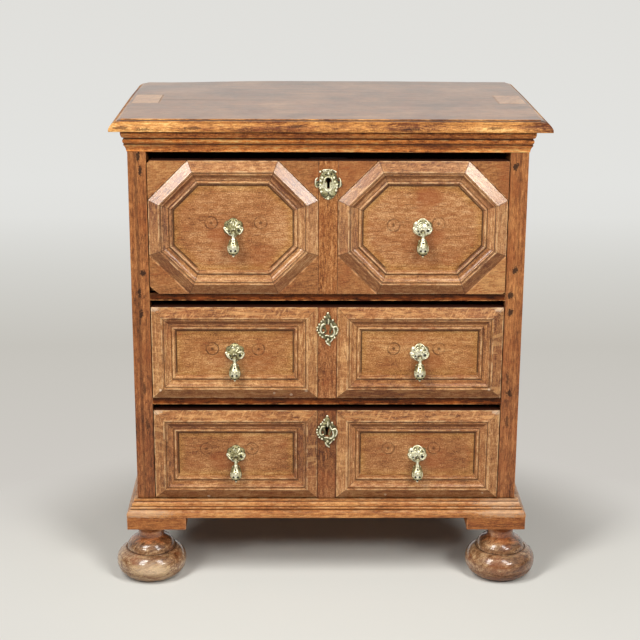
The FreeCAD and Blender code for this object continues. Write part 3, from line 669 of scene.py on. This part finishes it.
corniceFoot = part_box("cornice_front")[0][2]
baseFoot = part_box("base_moulding_front")[0][2]
mouldingLook = dict(
    plainCarcass, colours=((116, 66, 32), (182, 118, 66), (224, 166, 106)), worn=tint(232, 190, 140),
    gloss=0.36,
    # the cornice's dark lines paint shade in its grooves and the shadow under the top's overhang; the base
    # moulding's darken its grooves as dirt and painted shade
    grimeAndShade=lines("z", corniceFoot, (12.7, 1.8, 0.9), (21.8, 1.8, 0.9), (34.5, 5.0, 0.7))
    + lines("z", baseFoot, (12.8, 0.8, 0.7), (17.6, 0.8, 0.7), (25.6, 0.8, 0.7)),
    chipsAndHighlights=(("x", 50 * mm, "z", 9 * mm, 0.3,
            ((0.3, baseFoot + 9 * mm), (-0.31, baseFoot + 8 * mm), (0.3, baseFoot + 24 * mm))),),
    # the base moulding's pale lines are wear on its ridges; the cornice's one paints the highlight on its
    # bead
    rubbedAndHighlit=lines("z", baseFoot, (11.0, 1.6, 0.7), (16.4, 1.2, 0.8), (23.6, 1.6, 0.8), (29.6, 1.0, 0.9))
    + lines("z", corniceFoot, (20.0, 1.4, 0.7)),
)
# the cornice's colours are lightened to paint back the light that the top's overhang shades off it
corniceBrightenedLook = dict(
    mouldingLook, colours=((116, 54, 16), (242, 148, 70), (255, 216, 140)), fibre=1.3,
    worn=tint(244, 196, 132), wornAndHighlitShare=0.8,
)
mouldingShape = {"soft": 0.35 * mm, "shortest": 12 * mm, "cut": 14 * mm, "wave": 0.2 * mm}
# painted shadow in the gap under the bottom drawer, on the base moulding's top
drawerGapShade = ("y", frontY, 6 * mm, 0.95, ("z", baseFoot + 28.6 * mm, baseFoot + 29.6 * mm))
baseFrontLook = dict(mouldingLook, grimeAndShade=mouldingLook["grimeAndShade"] + (drawerGapShade,))
for node, look in (("cornice_front", corniceBrightenedLook), ("cornice_sides", corniceBrightenedLook),
                   ("base_moulding_front", baseFrontLook), ("base_moulding_sides", mouldingLook)):
    woodPiece(node, oakFinish(node + "Oak", look), mouldingShape)
print("carcass done")

# top: two boards with a thumb edge, a crack along their joint and two let-in patches
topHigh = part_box("top_boards")[1][2]
jointY = -9 * mm
topLook = dict(
    agedOak, colours=((112, 72, 44), (168, 116, 76), (204, 154, 110)),
    worn=tint(226, 180, 126), gloss=0.34, wax=0.9, waxGloss=0.3, waxedAbove=True, streaks=1.1, mottle=0.6,
    patchy=1.7, ruddyShare=0.3, varnish=(1.0, 1.0, 1.0, 1.0),
    zones=(("facing", 0.995, 0.96, ((98, 48, 18), (208, 142, 74), (255, 212, 136))),),
    grimeAndShade=(("y", jointY, 0.9 * mm, 0.3), ("y", jointY - 0.4 * mm, 1.6 * mm, 0.9, ("x", -0.12, -0.17)),
           ("z", topHigh - 2.0 * mm, 0.7 * mm, 0.8, ("y", -0.2, -0.212))),
    stains=(("x", 16 * mm, "z", 2.2 * mm, 0.6,
             ((-0.215, 0.786), (-0.05, 0.789), (0.13, 0.785), (0.26, 0.787), (-0.29, 0.784),
              (-0.325, 0.786))),),
)
topOak = oakFinish("topOak", topLook)
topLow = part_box("top_boards")[0][2]
topWear = {"all": 0.1, "left": 0.17, "right": 0.05, "across": (0.1, 0.3), "back": (0.06, 0.239),
           "shift": 3.5 * mm}


# the real top sits a little to the right and is worn down towards its back corners
def settleTop(co):
    left, right = eased(-co.x, *topWear["across"]), eased(co.x, *topWear["across"])
    drop = topWear["all"] + topWear["left"] * left + topWear["right"] * right
    drop = drop * eased(co.y, *topWear["back"])
    return Vector((co.x + topWear["shift"], co.y, topLow + (co.z - topLow) * (1 - drop)))


topShape = {
    "soft": 0.6 * mm, "cut": 20 * mm, "wave": 0.25 * mm, "shortest": 10 * mm, "settle": settleTop,
    "slices": [((0, y, 0), (0, 1, 0)) for y in (0.06, 0.1, 0.14, 0.18, 0.21)],
    "leave": lambda middle: abs(middle.y - jointY) < 2 * mm,
}
woodPiece("top_boards", topOak, topShape)
patchLook = dict(
    topLook, colours=((160, 104, 62), (206, 148, 98), (232, 184, 136)), tone=0.6, zones=(),
    grimeAndShade=(("x", -0.2832, 1.1 * mm, 0.6), ("x", 0.2902, 1.0 * mm, 0.35)), stains=(),
)
patchOak = oakFinish("patchOak", patchLook)
woodPiece("top_patches", patchOak, {"settle": settleTop, "toneAt": lambda middle, chance: 0.75})
print("top done")

# drawers: a board with two framed fields, applied mouldings and a middle strip
drawers = {
    "top_drawer": {
        "corner": 182.75 * mm, "slot": "oak_drawer", "rays": 0.12, "gloss": 0.36, "wax": 1.0, "rings": 0.62,
        "panel": ((106, 54, 24), (172, 117, 72), (222, 178, 132)),
        "frame": ((100, 52, 22), (178, 122, 72), (230, 184, 132)),
        "strip": ((96, 48, 20), (156, 98, 52), (204, 148, 96)),
        "chipsAndHighlights": ((-0.287, 0.520),),
        "oldHandles": ((-0.189, 8.0), (-0.109, 8.3), (0.106, 4.5), (0.179, 7.0)),
    },
    "middle_drawer": {
        "slot": "oak_honey", "rays": 0.45, "gloss": 0.38, "wax": 0.5, "rings": 0.72,
        "panel": ((108, 56, 24), (176, 120, 70), (224, 180, 128)),
        "frame": ((100, 50, 20), (178, 121, 70), (232, 186, 132)),
        "strip": ((88, 44, 20), (154, 97, 55), (200, 146, 98)),
        "chipsAndHighlights": ((-0.088, 0.339), (-0.060, 0.336), (-0.035, 0.344), (-0.277, 0.344), (0.27, 0.345)),
        "oldHandles": ((-0.190, 6.7), (-0.114, 5.7), (0.110, 7.0), (0.185, 6.8)),
    },
    "bottom_drawer": {
        "slot": "oak_honey", "rays": 0.42, "gloss": 0.4, "wax": 0.45, "rings": 0.62,
        "panel": ((98, 48, 20), (164, 109, 65), (214, 166, 116)),
        "frame": ((94, 46, 18), (172, 115, 66), (226, 178, 126)),
        "strip": ((78, 38, 16), (134, 82, 45), (182, 128, 82)),
        "chipsAndHighlights": ((0.265, 0.160), (-0.2, 0.152), (0.1, 0.156)),
        "oldHandles": ((-0.203, 9.1), (-0.126, 9.3), (0.104, 10.1), (0.181, 10.3)),
    },
}
fieldShape = {"x": 153 * mm, "halfWidth": 137 * mm}
insideLook = dict(
    agedOak, colours=((116, 84, 54), (164, 126, 88), (198, 162, 122)),
    worn=tint(205, 172, 132), gloss=0.72, shine=0.3, wax=0.0, ruddyShare=0.1,
)
insideOak = oakFinish("insideOak", insideLook)
insideShape = {"soft": 0.7 * mm, "cut": 30 * mm, "wave": 0.2 * mm}
for node in ("back_boards", "drawer_runners"):
    woodPiece(node, insideOak, insideShape)


def spandrelTone(middle, chance):  # the lower one at the far right is a pale repair
    return 1.0 if middle.x > 0.2 and middle.z < 0.6 else 0.35 + chance * 0.3


for name, drawer in drawers.items():
    low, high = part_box(name + "_front")
    middleZ = (low[2] + high[2]) / 2
    drawer["middleZ"] = middleZ
    field = dict(fieldShape, z=middleZ, halfHeight=(high[2] - low[2]) / 2)
    octagon = "corner" in drawer
    if octagon:
        field["corner"] = drawer["corner"]
    # painted shade lines stop short of a field's foot, where light falls on the moulding
    aboveFoot = ("z", low[2] + 42 * mm, low[2] + 46 * mm)
    panelLook = dict(
        agedOak, colours=drawer["panel"], dirtAndShade=tint(60, 26, 12), worn=tint(214, 160, 112), gloss=0.4,
        # the drawer front's top edge gets painted shade for the gap above it
        tone=0.06, streaks=0.2, fibre=0.35, mottle=1.0, speckle=1.2, field=field, gapShadeAbove=high[2],
        zones=(("depth", 56 * mm, 41 * mm, ((108, 62, 24), (176, 124, 68), (222, 178, 122))),),
        # the dark line round the panel's edge, save at its foot, is the moulding's painted shadow
        grimeAndShade=(("depth", 40.4 * mm, 1.8 * mm, 0.8, aboveFoot),), ringShare=drawer["rings"], dashes=0.5,
        flushes=(("x", 26 * mm, "z", 17 * mm, 0.4, ((-0.174, middleZ - 14 * mm), (0.170, middleZ - 15 * mm),
                                                    (0.166, middleZ + 50 * mm))),),
        oldHandles=[(x, middleZ + up * mm) for x, up in drawer["oldHandles"]],
    )
    corners = [(side * 286 * mm, high[2] - 3 * mm) for side in (-1, 1)]
    frameLook = dict(
        panelLook, oldHandles=(), flushes=(), dashes=0.3, dirtAndShade=tint(46, 22, 10), worn=tint(238, 200, 152),
        wornAndHighlitShare=0.65, paleBreakup=0.1, ruddyShare=0.24, colours=drawer["frame"], gloss=drawer["gloss"],
        wax=drawer["wax"], waxGloss=0.2, zones=(), fibre=0.9, mottle=1.0, speckle=0.8, under=0.5,
        chipsAndHighlights=(("x", 11 * mm, "z", 4.5 * mm, 0.5, corners),
               ("x", 2.5 * mm, "z", 2.5 * mm, 0.9, drawer["chipsAndHighlights"])),
        # the dark lines in the quirks and round the panel are painted shade; the one on the mitres is the
        # dark joint
        grimeAndShade=lines("depth", 0, (20.2, 0.8, 0.6), (32.4, 0.8, 0.6))
        + (("depth", 39.4 * mm, 0.9 * mm, 0.7, aboveFoot), ("mitre", 0.0, 0.8 * mm, 0.5)),
        # the pale lines on the ridge, the outer edge and the bead's top are wear and painted highlights
        rubbedAndHighlit=lines("depth", 0, (17.2, 1.5, 1.0), (0.4, 1.6, 0.9), (35.6, 1.6, 0.8)),
        tone=0.1, streaks=0.55, rays=drawer["rays"], rayColour=tint(228, 176, 116),
        raysFrom=high[2] - 19 * mm,
    )
    stripLook = dict(
        panelLook, oldHandles=(), flushes=(), zones=(), colours=drawer["strip"], streaks=0.8, fibre=1.3,
        grimeAndShade=[("x", side * 15.7 * mm, 1.2 * mm, 0.7) for side in (-1, 1)],
    )
    panelOak = oakFinish(name + "PanelOak", panelLook)
    frameOak = oakFinish(name + "MouldingOak", frameLook)
    stripOak = oakFinish(name + "StripOak", stripLook)
    clips = ()
    if octagon:
        left, right, foot, head = low[0], high[0], low[2], high[2]
        clips = (((left + 14 * mm, 0, foot), (-12, 0, -14)), ((left + 5 * mm, 0, head), (-1, 0, 1)),
                 ((right - 4 * mm, 0, foot), (1, 0, -1.3)))
    boardShape = {"soft": 0.6 * mm, "cut": 25 * mm, "wave": 0.15 * mm, "shortest": 20 * mm, "clips": clips}
    woodPiece(name + "_front", panelOak, boardShape)
    woodPiece(name + "_mouldings", frameOak,
              {"soft": 0.3 * mm, "shortest": 12 * mm, "cut": 14 * mm, "wave": 0.1 * mm, "field": field})
    woodPiece(name + "_strip", stripOak,
              {"soft": 0.4 * mm, "cut": 25 * mm, "shortest": 20 * mm})
    if octagon:
        spandrelLook = dict(
            stripLook, tone=0.6, streaks=0.3, fibre=0.8, speckle=0.9, rings=0.02,
            grimeAndShade=(("depth", 0.0, 1.4 * mm, 0.85, ("z", middleZ - 10 * mm, middleZ + 10 * mm)),),
            rubbedAndHighlit=(("depth", -0.8 * mm, 1.4 * mm, 1.0),), wornAndHighlitShare=0.8,
            colours=((106, 60, 30), (162, 108, 64), (198, 148, 96)),
        )
        spandrelOak = oakFinish(name + "SpandrelOak", spandrelLook)
        repaired = {"soft": 0.4 * mm, "shortest": 8 * mm, "clips": clips, "axis": (1, 0, 0.12),
                    "toneAt": spandrelTone}
        woodPiece(name + "_spandrels", spandrelOak, repaired)
    for part in ("_sides", "_back", "_bottom"):
        woodPiece(name + part, insideOak, insideShape)
print("drawers done")

# feet: turned buns, paler on the left, with a warmer neck, a painted highlight on the left bun's front and
# painted shade under the blocks
grooveZ = 51.2 * mm
feetLook = dict(
    agedOak, colours=((70, 40, 22), (150, 110, 76), (220, 190, 150)), worn=tint(200, 168, 130),
    rings=0.07, fibre=0.8, mottle=1.4, patchy=2.2, tone=0.4, gloss=0.32, wax=1.0, waxGloss=0.1,
    ringsPerMetre=120.0, heart=0.09, ruddyShare=0.5,
    # the pale patch on the left bun's front is a painted highlight
    chipsAndHighlights=(("x", 30 * mm, "z", 13 * mm, 0.4, ((-0.298, 0.032),)),),
    rubbedAndHighlit=(("z", grooveZ - 2.0 * mm, 1.2 * mm, 0.8),),
    zones=(("z", 64 * mm, 73 * mm, ((108, 58, 30), (182, 112, 66), (224, 166, 114))),),
    # the broad dark band at the top of the neck is painted shadow under the block
    zoneBlur=0.03, grimeAndShade=(("z", grooveZ, 0.9 * mm, 0.8), ("z", 97 * mm, 10 * mm, 0.6)),
)
feetOak = oakFinish("feetOak", feetLook)
feetShape = {"axis": (0.92, 0.3, 0.18), "wave": 0.3 * mm, "crease": 35, "sway": 0.02,
             "toneAt": lambda middle, chance: 0.95 if middle.x < 0 else 0.15}
for node in ("bun_feet_front", "bun_feet_rear"):
    woodPiece(node, feetOak, feetShape)
print("feet done")


# brass: worn bright ridges over dull, dirty recesses; the attribute rise is -1 in a hole, which is painted
# black as shade, and 1 on a ridge, and faces that look forward are painted brighter as lit
def castBrass(name, look):
    finish, flow, shader = newFinish(name)
    place = flow.node("ShaderNodeTexCoord", out="Object")
    rise = attribute(flow, "rise")
    grit = cloud(place, *look["gritNoise"])
    blotch = cloud(place, *look["blotchNoise"])
    shade = 0.5 + rise * look["relief"] + (grit - 0.5) * look["grit"] + (blotch - 0.5) * look["blotch"]
    colour = flow.node("ShaderNodeValToRGB", {"stops": look["colours"]}, {0: shade})
    bump = {"Strength": look["bump"], "Distance": look["bumpDepth"], "Height": grit}
    clean = fade(shade, *look["cleanRange"])
    gloss = look["gloss"] + (grit - 0.5) * look["gritGloss"] + (1 - clean) * look["dirtGloss"]
    feed(flow, shader, Base_Color=colour, Metallic=clean * look["metal"], Roughness=gloss,
         Normal=flow.node("ShaderNodeBump", {}, bump))
    return finish


brassLook = {
    "colours": ((0.0, (12, 11, 6)), (0.34, (74, 68, 40)), (0.56, (170, 162, 114)),
                (0.78, (230, 225, 188)), (1.0, (250, 247, 228))),
    "grit": 0.45, "blotch": 0.5, "metal": 0.6, "gloss": 0.3, "relief": 0.42, "bump": 0.35,
    "bumpDepth": 0.4 * mm, "gritNoise": ((430, 430, 430), 3.0, 0.6), "blotchNoise": ((120, 120, 120), 2.0),
    "cleanRange": (0.3, 0.6), "gritGloss": 0.3, "dirtGloss": 0.3,
}
oldBrass = castBrass("oldBrass", brassLook)
wireColours = ((0.2, (50, 38, 22)), (0.6, (120, 96, 58)), (1.0, (176, 150, 100)))
wireBrass = castBrass("wireBrass", dict(brassLook, colours=wireColours, gloss=0.42))
ironColours = ((0.2, (34, 28, 24)), (0.6, (74, 66, 60)), (1.0, (120, 108, 96)))
lockIron = castBrass("lockIron", dict(brassLook, colours=ironColours, metal=0.85, gloss=0.5))
# relief on the castings: lifts and ends as shares of a radius, flatness, and rise
relief = {
    "scrollLift": 0.3, "scrollEnd": 0.8, "scrollRound": 2, "scrollSteps": 5, "beadLift": 0.2,
    "beadFlat": 0.75, "bandFlat": 0.45, "leafFlat": 1.0, "holeFlat": 0.45, "ground": -0.35, "shadeBelow": 0.5,
    "ridge": 1.05, "ridgeSide": -0.05, "hole": -1.0, "crease": 50, "rayStart": -0.4,
}


def surfaceY(tree, x, z, backing):
    hit = tree.ray_cast(Vector((x, relief["rayStart"], z)), Vector((0, 1, 0)))[0]
    return hit.y if hit else backing


# a raised scroll: a smooth tube that follows the casting's face through (across, up) points in millimetres
def addScroll(bm, tree, middle, points, thick, backing):
    curve = bpy.data.curves.new("scroll", "CURVE")
    curve.dimensions = "3D"
    curve.bevel_depth = 1 * mm
    curve.bevel_resolution = relief["scrollRound"]
    curve.resolution_u = relief["scrollSteps"]
    curve.use_fill_caps = True
    spline = curve.splines.new("NURBS")
    spline.points.add(len(points) - 1)
    for point, (across, up) in zip(spline.points, points):
        x = middle[0] + across * mm
        z = middle[1] + up * mm
        point.co = (x, surfaceY(tree, x, z, backing) - relief["scrollLift"] * thick * mm, z, 1)
        point.radius = thick
    spline.points[0].radius = spline.points[-1].radius = thick * relief["scrollEnd"]
    spline.order_u = min(4, len(points))
    spline.use_endpoint_u = True
    holder = bpy.data.objects.new("scroll", curve)
    mesh = bpy.data.meshes.new_from_object(holder)
    bm.from_mesh(mesh)
    bpy.data.objects.remove(holder)
    bpy.data.curves.remove(curve)
    bpy.data.meshes.remove(mesh)


def addBead(bm, tree, middle, bead, backing, flat):
    across, up, radius = bead
    x = middle[0] + across * mm
    z = middle[1] + up * mm
    place = Matrix.Translation((x, surfaceY(tree, x, z, backing) - relief["beadLift"] * radius * mm, z))
    bmesh.ops.create_uvsphere(bm, u_segments=12, v_segments=8, radius=radius * mm,
                              matrix=place @ Matrix.Diagonal((1, flat, 1, 1)))


# each scroll with its mirror image
def bothSides(*scrolls):
    return tuple((tuple((side * across, up) for across, up in points), thick)
                 for points, thick in scrolls for side in (1, -1))


# a casting: its node's plain shape, or a flattened band, with scrolls, beads and small black beads that
# paint the shade in its holes
def castPiece(node, design, middles, backing):
    bm = mergedCopy(node) if "band" not in design else bmesh.new()
    if "waist" in design:  # the neck is drawn in
        at, half, share = design["waist"]
        boxLow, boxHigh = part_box(node)
        axis = (Vector(boxLow) + Vector(boxHigh)) / 2
        for v in bm.verts:
            up = (v.co.z - middles[0][1]) / mm
            drawn = 1 - share * max(0.0, 1 - ((up - at) / half) ** 2)
            v.co.x = axis.x + (v.co.x - axis.x) * drawn
            v.co.y = axis.y + (v.co.y - axis.y) * drawn
    riseLayer = bm.verts.layers.float.new("rise")
    empty = bmesh.new()  # a speck for rays to miss, while there is no shape
    bmesh.ops.create_grid(empty, x_segments=1, y_segments=1, size=0.01 * mm)
    tree = BVHTree.FromBMesh(bm if bm.verts else empty)
    empty.free()

    def addRelief(scrolls, beads, flat):
        for middle in middles:
            for points, thick in scrolls:
                addScroll(bm, tree, middle, points, thick, backing)
            for bead in beads:
                addBead(bm, tree, middle, bead, backing, flat)
        return len(bm.verts)

    plainCount = len(bm.verts)
    if "band" in design:
        plainCount = addRelief(design["band"], design["leaves"], relief["leafFlat"])
        for v in bm.verts:
            v.co.y = backing + (v.co.y - backing) * relief["bandFlat"]
        tree = BVHTree.FromBMesh(bm)
    raisedCount = addRelief(design["scrolls"], design["beads"], relief["beadFlat"])
    addRelief((), design["holes"], relief["holeFlat"])
    bm.normal_update()
    bm.verts.ensure_lookup_table()
    # faces that look forward are painted brighter, as lit, on the ground by the design's shine and on the
    # ridges, and a drop's bottom is painted darker as shade
    for v in bm.verts:
        front = max(0.0, -v.normal.y)
        if v.index < plainCount:
            v[riseLayer] = design["shine"] * front ** 2 + relief["ground"]
            if "shadedBelow" in design:
                v[riseLayer] -= relief["shadeBelow"] * eased((v.co.z - middles[0][1]) / mm, *design["shadedBelow"])
        elif v.index < raisedCount:
            v[riseLayer] = relief["ridge"] * front + relief["ridgeSide"]
        else:
            v[riseLayer] = relief["hole"]
    smoothEdges(bm, relief["crease"])
    placePiece(bm, node + "_brass", node, oldBrass)


# drop handles: a plate with an arch, scrolls and a tongue, and a pear drop with ribs and dots
def petal(turn, reaches=(4.5, 8, 12), thick=1.15):  # a rib outwards from the middle of a plate
    across, up = math.cos(math.radians(turn)), math.sin(math.radians(turn))
    return tuple((across * reach, up * reach) for reach in reaches), thick


plateDesign = {
    "shine": 0.55,
    "scrolls": tuple(petal(turn) for turn in (22, 56, 90, 124, 158)) + (
        (((-8.5, 9), (-6, 13.5), (-1, 16), (4.5, 14.5), (8, 10.5)), 1.5),
        (((-8.5, 9), (-11.5, 6.5), (-14, 3), (-14.5, 0)), 1.4),
        (((8, 10.5), (11, 7.5), (13, 4.5), (13, 2)), 1.4),
        (((4, 2), (8, 2.5), (13, 2), (15, 0), (15.2, -3), (13, -6)), 1.5),
        (((8, -9), (10, -9.6), (12, -8.5), (13.5, -6)), 1.4),
        (((-14, -2), (-11.5, -6), (-9, -7), (-7, -11), (-3, -12), (0, -14)), 1.4),
        (((-4, -10), (-2, -13.5), (1.5, -15.5)), 1.2),
        (((4.5, -12), (3.5, -14), (1.5, -15.5)), 1.2)),
    "beads": ((-1.6, -1, 1.6), (1.6, -1, 1.6), (-3.4, 9.4, 2.0), (-14, -0.5, 2.8), (11.5, -2.2, 1.3),
              (-10.6, -2.6, 1.7), (4.4, 9.6, 1.6)),
    "holes": ((-1.8, -5.6, 1.9), (2.6, -5.4, 1.9), (-7, -4.6, 1.6), (-6, -9.6, 1.6), (-9.6, 5.6, 1.3),
              (8.6, -3.4, 2.4), (9.2, 6.0, 1.3), (-3.6, 11.8, 1.1), (3.4, 12, 1.1), (0.4, -2.2, 1.2)),
}
dropDesign = {
    "shine": 1.45, "shadedBelow": (-27, -33), "waist": (-13.5, 6.5, 0.3),
    "scrolls": bothSides(
        (((-2.4, -10), (-5, -13.5), (-7.4, -19), (-8.6, -25), (-7.6, -31), (-4.4, -36)), 1.1),
        (((-6, -30.2), (-4.2, -31.8), (-2, -31.2)), 0.9)),
    "beads": ((0, -38.2, 1.7), (0, -11.6, 1.3), (0, -22, 3.4)),
    "holes": ((0, -16, 1.8), (-3.6, -28, 1.9), (3.6, -28, 1.9), (0, -34.4, 1.8), (-5.6, -33, 1.2),
              (5.6, -33, 1.2)),
}
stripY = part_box("top_drawer_strip")[0][1]
pivotDrop = 5 * mm
for name, drawer in drawers.items():
    places = [(side * fieldShape["x"], drawer["middleZ"]) for side in (-1, 1)]
    castPiece(name + "_plates", plateDesign, places, frontY)
    for side, (x, z) in zip(("left", "right"), places):
        castPiece(name + "_drop_" + side, dropDesign, [(x, z - pivotDrop)], frontY)
    nodes[name + "_wires"].material_slots[0].material = wireBrass

# escutcheons: an oval one with lumps and wings above, two open scrolled ones below
ovalDesign = {
    "shine": 0.0,
    "scrolls": (
        (((0, 12.5), (-5.5, 11.5), (-7.6, 5), (-7.2, -5), (-3, -10.5), (0, -11), (3, -10.5), (7.2, -5),
          (7.6, 5), (5.5, 11.5), (0, 12.5)), 1.3),
        (((-12.5, -14), (-9.9, -18.2), (-6.6, -20.4), (-2.8, -19.7), (-0.6, -16), (2, -16.4),
          (4.5, -19.7), (8, -20), (10.6, -16), (13.2, -14.4)), 1.4),
        (((-14.5, 19), (-10, 22.5), (-4, 24), (3, 24), (9, 22.5), (13, 19)), 1.0),
        (((-17, 10), (-20.6, 9), (-20.8, 3), (-21, -3.4), (-17.6, -5.4)), 1.3),
        (((16.4, 10), (19.4, 9), (19.6, 3), (19.8, -3.4), (16.6, -5.4)), 1.3)),
    "beads": ((-5.2, 23, 2.0), (3, 23, 2.0), (-13.1, 20, 1.9), (11.5, 20, 1.9), (-9.9, 10.8, 2.3),
        (-12.2, 5.6, 2.2), (-12.9, -0.5, 2.0), (-12.7, -5.9, 2.2), (-11.3, -12, 2.3), (8.9, 10.8, 2.3),
        (10.4, 4.3, 2.2), (13.2, -0.5, 2.0), (13.2, -5.2, 2.0), (12.4, -9.9, 2.2), (-0.5, -23.2, 2.2),
        (0, 17.5, 2.0)),
    "holes": ((-4.6, 16, 1.3), (4.6, 16, 1.3), (-16.2, 3.8, 1.5), (-16.2, -1.6, 1.5), (16, 3.8, 1.5),
        (16, -1.6, 1.5), (0, -14.2, 1.4)),
}
scrolledDesign = {
    "shine": 0.1,
    "band": (
        (((0, 14), (-9, 11), (-14, 2), (-11.5, -8), (-3, -13.5), (6, -14), (13, -8), (14.5, 2),
          (8.5, 11.5), (1, 14.5), (0, 14)), 4.2),
        (((-4.5, 9), (-5.6, 5.6), (-4.6, 1.6), (-2.4, -2), (-3.6, -6)), 1.9),
        (((4.4, 8.4), (6.6, 4.8), (6.2, 0.6), (3.8, -3.4), (4.6, -7)), 1.9)),
    "leaves": ((0.3, 20, 5.6), (0.6, 26, 3.0), (1.2, -18.6, 5.0), (2.6, -24.4, 3.0)),
    "scrolls": (
        (((-2.8, 8.5), (-6, 11.2), (-10, 8), (-12, 2), (-11.4, -3.6), (-8, -6.8), (-5.6, -4.2)), 1.5),
        (((5.2, 11.4), (7.2, 5), (10, 3.2), (13, 6.9), (16.4, 3.9), (17.4, 0), (16.2, -4.4),
          (13.4, -8.2)), 1.4),
        (((9.4, 2.2), (12, -3), (11, -9), (6.8, -12.4), (4.2, -10.6)), 1.5),
        (((1.4, 19.5), (1.8, 15), (1.2, 9.4)), 1.6),
        (((-4, -10.4), (0, -8.8), (2.6, -11.2)), 1.4),
        (((9.2, -14.6), (7.6, -18.4), (4.6, -21.4)), 1.2),
        (((-1.8, -22.4), (1.2, -25), (4.4, -27.6)), 1.5)),
    "beads": ((0.5, 28.2, 2.0), (-4.6, 21.4, 1.8), (-7.4, 16.8, 1.7), (-10, 13.6, 1.7), (-13.6, 8.8, 1.8),
        (-16.4, 3.4, 1.8), (-16.8, -1.2, 1.8), (-14.6, -5, 1.7), (-12.4, -9.4, 1.7),
        (-8.3, -12.4, 1.7), (8.8, 16, 1.8), (11.5, -13.6, 1.9), (0.9, -16.6, 2.2), (-2, -19.8, 1.7)),
    "holes": ((-1.6, 12.6, 1.2), (5.2, 16.4, 1.1), (-7.6, 2.4, 1.3), (10.6, -1.2, 1.2), (3.6, -14.6, 1.1)),
}
for name in drawers:
    low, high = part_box(name + "_escutcheon")
    middle = [(0, (low[2] + high[2]) / 2)]
    castPiece(name + "_escutcheon", ovalDesign if name == "top_drawer" else scrolledDesign, middle, stripY)
for node in ("top_drawer_lock", "top_drawer_bolt", "bottom_drawer_lock", "bottom_drawer_bolt"):
    nodes[node].material_slots[0].material = lockIron
print("brass and locks done")
